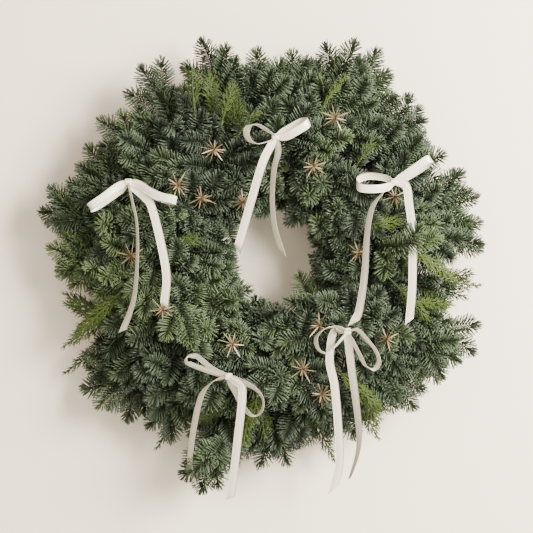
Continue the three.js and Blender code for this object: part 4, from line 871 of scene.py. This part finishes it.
def parted_needles(tree, given, points, near_tip):
    """Needles left and right of the shoot, in three rows a side from its edge to its top, which open less
    and less towards its tip. On shoots that are marked so, they stand all round."""
    index = node(tree, "GeometryNodeInputIndex").outputs[0]
    row = maths(tree, "MODULO", maths(tree, "FLOOR", maths(tree, "MULTIPLY", index, 0.5)), NEEDLE_ROWS)
    off_row = drawn_between(tree, -ROW_SPREAD, ROW_SPREAD, given["Seed"])
    level = maths(tree, "MULTIPLY_ADD", row, ROW_STEP, off_row)
    off_side = maths(tree, "MULTIPLY_ADD", level, ROLL_BY_ROW, EDGE_ROLL)
    parted = maths(tree, "MULTIPLY", off_side, side_of(tree))
    spiral = maths(tree, "WRAP", maths(tree, "MULTIPLY", index, GOLDEN_TURN), math.pi, -math.pi)
    roll = node(tree, "ShaderNodeMix", {0: named(tree, "round"), 2: parted, 3: spiral},
                data_type="FLOAT").outputs[0]
    roll = maths(tree, "ADD", roll, drawn_between(tree, -ROLL_SPREAD, ROLL_SPREAD, 3))
    lean = ranged(tree, near_tip, given["Tip lean"], given["Lean"])
    lean = maths(tree, "MULTIPLY_ADD", level, LEAN_BY_ROW, lean)
    uneven = ranged(tree, near_tip, 0.5, 0.05)
    slant = maths(tree, "MULTIPLY_ADD", drawn_between(tree, -1.0, 1.0, 5), uneven, lean)
    leaned = turned(tree, turned(tree, flat_on(tree, points), "Z", roll), "Y", slant)
    return leaves_on(tree, given, points, leaned, leaf_size(tree, given, near_tip, 0.88, 1.06, 9))


def grow(name, lines, tree, values):
    """The tree's result on these lines as a plain mesh."""
    made = add_object(name, lines)
    modifier = made.modifiers.new("grow", "NODES")
    modifier.node_group = tree
    for item in tree.interface.items_tree:
        if item.item_type == "SOCKET" and item.in_out == "INPUT" and item.name in values:
            modifier[item.identifier] = values[item.name]
    made.update_tag()
    depsgraph = bpy.context.evaluated_depsgraph_get()
    mesh = bpy.data.meshes.new_from_object(made.evaluated_get(depsgraph), preserve_all_data_layers=True,
                                           depsgraph=depsgraph)
    made.modifiers.remove(modifier)
    bpy.data.objects.remove(made)
    mesh.name = name
    return mesh


def leaf_object(name, rings, tip, bend):
    """A small closed leaf along +Z with a flat face and a keel, from sections of (half width, keel, height).
    Its map gives the way along it, and which face is the under one."""
    points, faces, under = [Vector((0, 0, 0))], [], []
    for width, keel, height in rings:
        rise = bend * (height / tip) ** 2
        points += [Vector((rise, width, height)), Vector((rise, -width, height))]
        points.append(Vector((rise - keel, 0, height)))
    points.append(Vector((bend, 0, tip)))
    for j in range(3):
        k = (j + 1) % 3
        faces.append((0, 1 + k, 1 + j))
        for i in range(len(rings) - 1):
            a, b = 1 + 3 * i, 4 + 3 * i
            faces.append((a + j, a + k, b + k, b + j))
        last = 1 + 3 * (len(rings) - 1)
        faces.append((last + j, last + k, len(points) - 1))
        under += [float(j > 0)] * (len(rings) + 1)
    mesh = mesh_of(name, points, faces)
    layer = mesh.uv_layers.new(name="leaf")
    for polygon, below_face in zip(mesh.polygons, under):
        for corner, vertex in zip(polygon.loop_indices, polygon.vertices):
            layer.data[corner].uv = (below_face, points[vertex].z / tip)
    return bpy.data.objects.new(name, mesh)


def tone_group():
    """Leaf colour from a spray's tone, a leaf's own shade, its under face, and painted shade and light along
    it.
    """
    tree = bpy.data.node_groups.new("leaf_tone", "ShaderNodeTree")
    add_sockets(tree, "INPUT", "Color", "Deep", "Middle", "Fresh", "Bloom")
    add_sockets(tree, "INPUT", "Float", "Tone", "Shade", "Bloom share")
    add_sockets(tree, "INPUT", "Vector", "Map")
    add_sockets(tree, "OUTPUT", "Color", "Colour")
    given = node(tree, "NodeGroupInput").outputs
    level = maths(tree, "MULTIPLY_ADD", given["Shade"], 0.2, given["Tone"])
    level = maths(tree, "MULTIPLY_ADD", noise(tree, object_place(tree), 22.0, 2.0), 0.5, level)
    level = maths(tree, "SUBTRACT", level, 0.34)
    green = blend(tree, ranged(tree, level, end=0.5), given["Deep"], given["Middle"])
    green = blend(tree, ranged(tree, level, start=0.5), green, given["Fresh"])
    split = node(tree, "ShaderNodeSeparateXYZ", {0: given["Map"]}).outputs
    share = maths(tree, "MULTIPLY", split[0], given["Bloom share"])
    green = blend(tree, share, green, given["Bloom"])
    # Painted shade and painted light: each leaf is darker at its base and paler at its tip.
    paler = ranged(tree, split[1], 0.62, 1.28)
    lit = node(tree, "ShaderNodeVectorMath", {0: green, "Scale": paler}, operation="SCALE").outputs[0]
    node(tree, "NodeGroupOutput", {"Colour": lit})
    return tree


LEAF_TONE = tone_group()


def foliage_material(name, colours, bloom_share, roughness):
    """A leaf finish from its deep, middle and fresh greens and the bloom on the under face."""
    made, tree = material(name)
    group = tree.nodes.new("ShaderNodeGroup")
    group.node_tree = LEAF_TONE
    for key, value in zip(("Deep", "Middle", "Fresh", "Bloom"), colours):
        group.inputs[key].default_value = (*value, 1)
    group.inputs["Bloom share"].default_value = bloom_share
    for key in ("Tone", "Shade"):
        value = node(tree, "ShaderNodeAttribute", attribute_name=key.lower()).outputs["Fac"]
        tree.links.new(value, group.inputs[key])
    tree.links.new(node(tree, "ShaderNodeUVMap", uv_map="leaf").outputs[0], group.inputs["Map"])
    finish(tree, {"Base Color": group.outputs["Colour"], "Roughness": roughness, "Specular IOR Level": 0.3})
    return made


fir_needle_green = foliage_material("fir_needle_green", [
    (0.008, 0.013, 0.006), (0.033, 0.050, 0.021), (0.090, 0.130, 0.034), (0.12, 0.155, 0.105)], 0.4, 0.42)
fir_bark, tree = material("fir_bark")
scars = noise(tree, object_place(tree), 400.0, 3.0)
finish(tree, {"Base Color": blend(tree, scars, (0.020, 0.018, 0.008), (0.050, 0.052, 0.022)),
              "Roughness": 0.8, "Normal": bump(tree, scars, 0.5, 0.0004)})

needle = leaf_object("needle", [(0.68, 1.1, 2.0), (0.84, 1.3, 9.0), (0.76, 1.2, 15.2)], 17.4, -3.6)
fir_tree = foliage_tree("fir_needles", parted_needles)
sprays = [long_spray(index, *spray[1:]) for index, spray in enumerate(FIR_SPRAYS)]
fill_sprigs(sprays)
placed_sprigs(sprays)
for index, twigs in enumerate(sprays):
    label = FIR_SPRAYS[index][0]
    mesh = grow("fir_" + label, twigs.mesh("fir_lines"), fir_tree,
                {"Leaf": needle, "Spacing": 0.59 * MM, "Lean": 1.36, "Tip lean": 0.6, "Tip run": 13 * MM,
                 "Size": 1.05, "Seed": index, "Bark": fir_bark, "Foliage": fir_needle_green})
    put("fir_needles_" + label, mesh, None, "fir_spray_" + label)

# ---- Cedar fronds ----
# Flat, lacy fronds of western red cedar, brighter and more yellow than the fir. Each frond is a rib with
# side ribs left and right by turns, clothed in small pressed scale leaves.
FRONT = 85
CEDAR_SPRAYS = [
    ("right", 351, OUT, 0.35, [(352, 271, 44), (355, 260, 50), (348, 255, 57), (344, 217, 84)]),
    ("lower_right", 304, OUT, 0.6, [(301, 269, 50), (308, 247, 58), (300, 246, 64)]),
    ("bottom", 284, OUT, 0.35, [(288, 275, 32), (282, 243, 45), (286, 219, 57)]),
    ("lower_left_1", 265, OUT, 0.6, [(269, 229, 62), (264, 257, 32), (264, 178, 84)]),
    ("lower_left_2", 240, OUT, 0.45, [(240, 282, 38), (235, 256, 44), (243, 228, 64)]),
    ("left_1", 206, OUT, 0.3, [(210, 299, 28), (190, 262, 34)]),
    ("left_2", 197, OUT, 0.65, [(204, 283, 48), (193, 263, 52), (201, 254, 60)]),
    ("top_left", 109, FRONT, 0.6, [(114, 258, 55), (108, 238, 82), (101, 209, 94), (99, 191, 98)]),
]


def both_sides(tree, given, points, near_tip):
    """Scale leaves left and right of the rib by turns, flat in the frond."""
    lean = ranged(tree, near_tip, given["Tip lean"], given["Lean"])
    open_by = maths(tree, "MULTIPLY", lean, drawn_between(tree, 0.8, 1.15, given["Seed"]))
    way = turned(tree, flat_on(tree, points), "X", maths(tree, "MULTIPLY", open_by, side_of(tree)))
    return leaves_on(tree, given, points, way, leaf_size(tree, given, near_tip, 0.75, 1.15, 3))


FROND_START = 0.22
FROND_END = 5
SHORTEST_RIB = 6
FORKED_RIB = 12
RIB_FORKS = ((0.3, 1), (0.5, -1), (0.7, 1))
RIB_STEP = (3.9, 5.4)
FOOT_RIB, RIB_GROWTH = 0.45, 2.2
RIB_GIRTH = (0.65, 0.35)
FORK_GIRTH = (0.5, 0.35)
FORK_SPREAD, FORK_LENGTH = 0.55, 0.32


def grow_frond(twigs, line, tone, draws, widest=26):
    """A rib and its side ribs by turns, longest near its foot, the long ones with forks of their own."""
    total = length_of(line)
    facing = facing_of(draws, (line[-1] - line[0]).normalized(), 0.5)
    twigs.line(line, 1.0, 0.4, tone, facing)
    side, s = 1, total * FROND_START
    while s < total - FROND_END:
        at, ahead = point_along(line, s)
        across = facing.cross(ahead).normalized() * side
        share = s / total
        reach = widest * min(1.0, FOOT_RIB + RIB_GROWTH * (share - 0.2)) * (1 - share ** 3)
        reach = max(reach * draws.uniform(0.8, 1.15), SHORTEST_RIB)
        middle = at + (ahead * 0.84 + across * 0.54).normalized() * reach * 0.55
        end = at + (ahead + across * 0.44).normalized() * reach - facing * draws.uniform(0, 0.2) * reach
        rib = curve_line(at, middle, end, 3)
        rib_tone = tone + draws.uniform(-0.1, 0.15)
        twigs.line(rib, *RIB_GIRTH, rib_tone, facing)
        for fork_share, turn in RIB_FORKS if reach > FORKED_RIB else ():
            fork, onward = point_along(rib, reach * fork_share)
            sideways = facing.cross(onward).normalized() * side * turn
            fork_end = fork + (onward + sideways * FORK_SPREAD).normalized() * reach * FORK_LENGTH
            twigs.line([fork, fork_end], *FORK_GIRTH, rib_tone, facing)
        side = -side
        s += draws.uniform(*RIB_STEP)


# Loose fronds on the face: from and to, each by angle, reach and depth, then the tone and half width.
CEDAR_FACE = [
    ((118, 190, 80), (112, 250, 84), 0.7, 24), ((110, 170, 84), (101, 216, 92), 0.75, 22),
    ((105, 150, 84), (93, 178, 92), 0.7, 18), ((190, 170, 70), (203, 262, 66), 0.8, 24),
    ((172, 130, 82), (168, 84, 84), 0.6, 18), ((265, 150, 80), (264, 215, 86), 0.85, 22),
    ((262, 175, 78), (262, 250, 66), 0.8, 20), ((258, 170, 70), (247, 226, 80), 0.5, 24),
    ((300, 150, 84), (307, 236, 80), 0.8, 24), ((308, 170, 80), (303, 252, 70), 0.75, 24),
    ((20, 110, 84), (15, 172, 90), 0.9, 20), ((5, 160, 84), (352, 236, 84), 0.95, 22),
    ((350, 150, 84), (338, 214, 84), 0.7, 22), ((45, 150, 84), (48, 196, 88), 0.6, 16),
    ((70, 190, 78), (66, 245, 84), 0.85, 12), ((340, 170, 74), (345, 238, 80), 0.8, 20),
]

CEDAR_FORK, CEDAR_FORK_STEP = 0.3, 0.08


def loose_fronds(sprays):
    """The loose fronds, each in the bunch nearest to it."""
    draws = random.Random(41)
    for start, tip, tone, widest in CEDAR_FACE:
        turns = [abs((start[0] - spray[1] + 180) % 360 - 180) for spray in CEDAR_SPRAYS]
        a, c = spot(*start), spot(*tip)
        middle = a.lerp(c, 0.5) + Vector((draws.uniform(-6, 6), -8, draws.uniform(-6, 6)))
        grow_frond(sprays[turns.index(min(turns))], curve_line(a, middle, c, 8), tone, draws, widest)


cedar_green = foliage_material("cedar_green", [
    (0.010, 0.022, 0.005), (0.034, 0.058, 0.009), (0.085, 0.125, 0.016), (0.06, 0.09, 0.02)], 0.4, 0.45)
scale_leaf = leaf_object("scale_leaf", [(0.8, 0.45, 1.6), (0.85, 0.4, 4.2)], 7.0, 0.3)
cedar_tree = foliage_tree("cedar_scales", both_sides)
cedar_sprays = []
for index, (label, angle, side, tone, tips) in enumerate(CEDAR_SPRAYS):
    draws = random.Random(300 + index)
    twigs = Twigs()
    places, root, neck, way, control = spray_start(angle, side, tips)
    twigs.line([root, neck], 2.0, 1.2, tone, TO_FRONT, 0, 1)
    grow_frond(twigs, curve_line(neck, control, places[0], 10), tone, draws)
    for i, tip in enumerate(places[1:]):
        share = CEDAR_FORK - CEDAR_FORK_STEP * i
        fork = bent(neck, control, places[0], share)
        middle = fork + (tip - fork) * FORK_OFF + way * (tip - fork).length * FORK_AHEAD
        grow_frond(twigs, curve_line(fork, middle, tip, 9), tone + draws.uniform(-0.1, 0.1), draws)
    cedar_sprays.append(twigs)
loose_fronds(cedar_sprays)
for index, twigs in enumerate(cedar_sprays):
    label = CEDAR_SPRAYS[index][0]
    mesh = grow("cedar_" + label, twigs.mesh("cedar_lines"), cedar_tree,
                {"Leaf": scale_leaf, "Spacing": 1.5 * MM, "Lean": 0.4, "Tip lean": 0.25, "Tip run": 8 * MM,
                 "Size": 0.66, "Seed": index, "Bark": cedar_green, "Foliage": cedar_green})
    put("cedar_lace_" + label, mesh, None, "cedar_fronds_" + label)

# ---- Straw stars ----
# Bursts of split and pressed wheat straw, gilded, each on a thin wire pick that stands in the ring. A ray
# is a folded strip that runs to a point, browner near the middle of the star.
STAR_RAY = 17.0
STAR_RAYS = 14
RAY_WIDTH = 0.95
RAY_STATIONS = [(0.03, 0.6), (0.2, 1.0), (0.55, 0.85), (0.85, 0.35)]
PICK_RADIUS = 0.8
# A pick stands on the side of the ring that its star is on: by the star's least reach.
PICK_SIDES = [(RING_RADIUS, 78), (95, 105), (0, 125)]


def ray(centre, way, length, width, draws):
    """One pointed straw ray, widest near its root."""
    side = way.cross(Vector([draws.uniform(-1, 1) for _ in range(3)])).normalized()
    up = way.cross(side)
    points, faces = [], []
    for share, wide in RAY_STATIONS:
        middle = centre + way * length * share
        w = width * wide
        points += [middle + side * w, middle + up * w * 0.4, middle - side * w, middle - up * w * 0.4]
    points += [centre + way * length, centre]
    tip, root = len(points) - 2, len(points) - 1
    for j in range(4):
        k = (j + 1) % 4
        faces.append((root, k, j))
        for i in range(0, tip - 4, 4):
            faces.append((i + j, i + k, i + 4 + k, i + 4 + j))
        faces.append((tip - 4 + j, tip - 4 + k, tip))
    return points, faces


def star_ways(draws):
    """Ways of the rays: spread evenly over a ball, then pressed towards the face."""
    ways = []
    offset = draws.uniform(0, 6.28)
    for i in range(STAR_RAYS):
        y = 1 - 2 * (i + 0.5) / STAR_RAYS
        r = math.sqrt(1 - y * y)
        a = offset + i * GOLDEN_TURN
        ways.append(Vector((r * math.cos(a), -y * 0.75, r * math.sin(a))).normalized())
    return ways


gilt_straw, tree = material("gilt_straw")
fibre = noise(tree, object_place(tree), 500.0, 3.0)
out = node(tree, "ShaderNodeAttribute", attribute_name="out").outputs["Fac"]
paler = maths(tree, "MULTIPLY_ADD", fibre, 0.5, maths(tree, "MULTIPLY_ADD", out, 1.1, -0.25))
gilt = blend(tree, paler, (0.07, 0.040, 0.015), (0.46, 0.355, 0.20), clamp_factor=True)
finish(tree, {"Base Color": gilt, "Metallic": 0.25, "Roughness": 0.38,
              "Normal": bump(tree, fibre, 0.4, 0.0003)})
for index, (angle, reach, depth) in enumerate(STARS):
    draws = random.Random(500 + index)
    centre = spot(angle, reach, depth)
    rays = []
    for way in star_ways(draws):
        rays.append(ray(centre, way, STAR_RAY * draws.uniform(0.7, 1.25), RAY_WIDTH, draws))
    side = next(side for least, side in PICK_SIDES if reach > least)
    surface = ring_surface(angle, side)[0]
    pick_way = (centre - surface).normalized()
    pick = tube([surface - pick_way * STEM_DEPTH, surface, centre], PICK_RADIUS, 6)
    star = mesh_of("star", *joined_parts(rays + [pick]), smooth=False)
    reaches = [(vertex.co / MM - centre).length / STAR_RAY for vertex in star.vertices]
    star.attributes.new("out", "FLOAT", "POINT").data.foreach_set("value", reaches)
    number = str(index + 1).zfill(2)
    put("gilt_star_" + number, star, gilt_straw, "straw_star_" + number)

# ---- Ribbon bows ----
# Ivory double-faced satin ribbon, 10 mm wide. Each length is tied in a bow of two loops and two tails round
# a twig behind its knot, and gathered in narrow folds where it enters the knot.
RIBBON_WIDTH = 10.0
RIBBON_THICK = 0.35
ACROSS = 8
PINCH, PINCH_RUN, PINCH_POWER = 0.55, 9, 1.3
FOLD, FOLD_RUN, FOLD_WAVES = 0.7, 13, 1.25
CUP = 0.5
KNOT_HALF = (4.6, 3.5, 4.4)
KNOT_TAPER, KNOT_CREASE = 0.82, 0.06


def ribbon_strip(points, widths, both_ends, slant=0, slant_side=0):
    """A closed thin strip of ribbon through the points, gathered where it enters the knot."""
    line = smooth_line([Vector((x, -depth, CENTRE_Z + z)) for x, z, depth in points], 8)
    ways = [Vector((right, -off, up)).normalized() for right, off, up in widths]
    steps = [(b - a).length for a, b in zip(line, line[1:])]
    total, run, rows = sum(steps), 0.0, []
    for i, p in enumerate(line):
        ahead = (line[min(i + 1, len(line) - 1)] - line[max(i - 1, 0)]).normalized()
        share = 2 * i / (len(line) - 1)
        wide = ways[0].lerp(ways[1], share) if share < 1 else ways[1].lerp(ways[2], share - 1)
        wide = (wide - ahead * wide.dot(ahead)).normalized()
        thick = ahead.cross(wide)
        near = run if not both_ends else min(run, total - run)
        pinch = 1 - PINCH * max(0.0, 1 - near / PINCH_RUN) ** PINCH_POWER
        fold = FOLD * max(0.0, 1 - near / FOLD_RUN)
        row = []
        for j in range(ACROSS + 1):
            u = j / ACROSS * 2 - 1
            cup = CUP * (1 - u * u) + fold * math.cos(FOLD_WAVES * 2 * math.pi * u)
            back = slant * (u * slant_side + 1) / 2 if i == len(line) - 1 else 0
            row.append((p + wide * u * RIBBON_WIDTH / 2 * pinch + thick * cup + ahead * back, thick, u, run))
        rows.append(row)
        if i < len(steps):
            run += steps[i]
    points, faces, uvs = [], [], []
    for lift in (0.5, -0.5):
        for row in rows:
            for p, thick, u, s in row:
                points.append(p + thick * RIBBON_THICK * lift)
                uvs.append((u * 0.5 + 0.5, s / RIBBON_WIDTH))
    wide, deep = ACROSS + 1, len(rows)
    under = wide * deep
    for i in range(deep - 1):
        for j in range(ACROSS):
            a = i * wide + j
            faces.append((a, a + 1, a + 1 + wide, a + wide))
            faces.append((under + a + wide, under + a + 1 + wide, under + a + 1, under + a))
        for a, b in ((i * wide + wide, i * wide), (i * wide + ACROSS, i * wide + ACROSS + wide)):
            faces.append((a, b, under + b, under + a))
    for j in range(ACROSS):
        a, b = j, under - wide + j
        faces.append((a + 1, a, under + a, under + a + 1))
        faces.append((b, b + 1, under + b + 1, under + b))
    return points, faces, uvs, total


def knot_wrap(centre):
    """The knot: a short band pulled round the middle of the bow, with creases."""
    points, faces, uvs = [], [], []
    around, along = 20, 9
    for i in range(along + 1):
        v = i / along * 2 - 1
        swell = math.sqrt(max(0.0, 1 - (KNOT_TAPER * v) ** 4))
        for j in range(around):
            a = 2 * math.pi * j / around
            crease = 1 + KNOT_CREASE * math.cos(3 * math.pi * v + 0.6 * math.sin(a))
            points.append(centre + Vector((KNOT_HALF[0] * v, -KNOT_HALF[1] * swell * crease * math.cos(a),
                                           KNOT_HALF[2] * swell * crease * math.sin(a))))
            uvs.append((v * 0.5 + 0.5, j / around * 2.4))
    for i in range(along):
        for j in range(around):
            k = (j + 1) % around
            faces.append((i * around + j, (i + 1) * around + j, (i + 1) * around + k, i * around + k))
    faces.append(tuple(range(around)))
    faces.append(tuple(along * around + j for j in range(around - 1, -1, -1)))
    return points, faces, uvs


ivory_satin, tree = material("ivory_satin")
ribbon_uv = node(tree, "ShaderNodeUVMap", uv_map="ribbon").outputs[0]
threads = node(tree, "ShaderNodeMapping", {"Vector": ribbon_uv, "Scale": (60, 5, 1)}).outputs[0]
warp = noise(tree, threads, 1.0, 2.0)
across_uv = node(tree, "ShaderNodeSeparateXYZ", {0: ribbon_uv}).outputs[0]
off_middle = maths(tree, "ABSOLUTE", maths(tree, "SUBTRACT", across_uv, 0.5))
selvedge = ranged(tree, off_middle, start=0.44, end=0.48)
cream = blend(tree, warp, (0.66, 0.60, 0.45), (0.79, 0.74, 0.59))
finish(tree, {"Base Color": blend(tree, selvedge, cream, (0.56, 0.51, 0.40)), "Specular IOR Level": 0.8,
              "Roughness": ranged(tree, selvedge, 0.25, 0.5), "Normal": bump(tree, warp, 0.25, 0.0002)})
for label, (knot, loops, tails) in BOWS.items():
    strips = [ribbon_strip(points, widths, True) for points, widths in loops]
    strips += [ribbon_strip(points, widths, False, slant, way) for points, widths, slant, way in tails]
    x, z, depth = knot
    parts = [strip[:3] for strip in strips] + [knot_wrap(Vector((x, -depth, CENTRE_Z + z)))]
    points, faces = joined_parts([part[:2] for part in parts])
    uvs = [uv for part in parts for uv in part[2]]
    mesh = mesh_of("bow", points, faces)
    layer = mesh.uv_layers.new(name="ribbon")
    for polygon in mesh.polygons:
        for corner, vertex in zip(polygon.loop_indices, polygon.vertices):
            layer.data[corner].uv = uvs[vertex]
    bow = put("satin_bow_" + label, mesh, ivory_satin, "ribbon_bow_" + label)
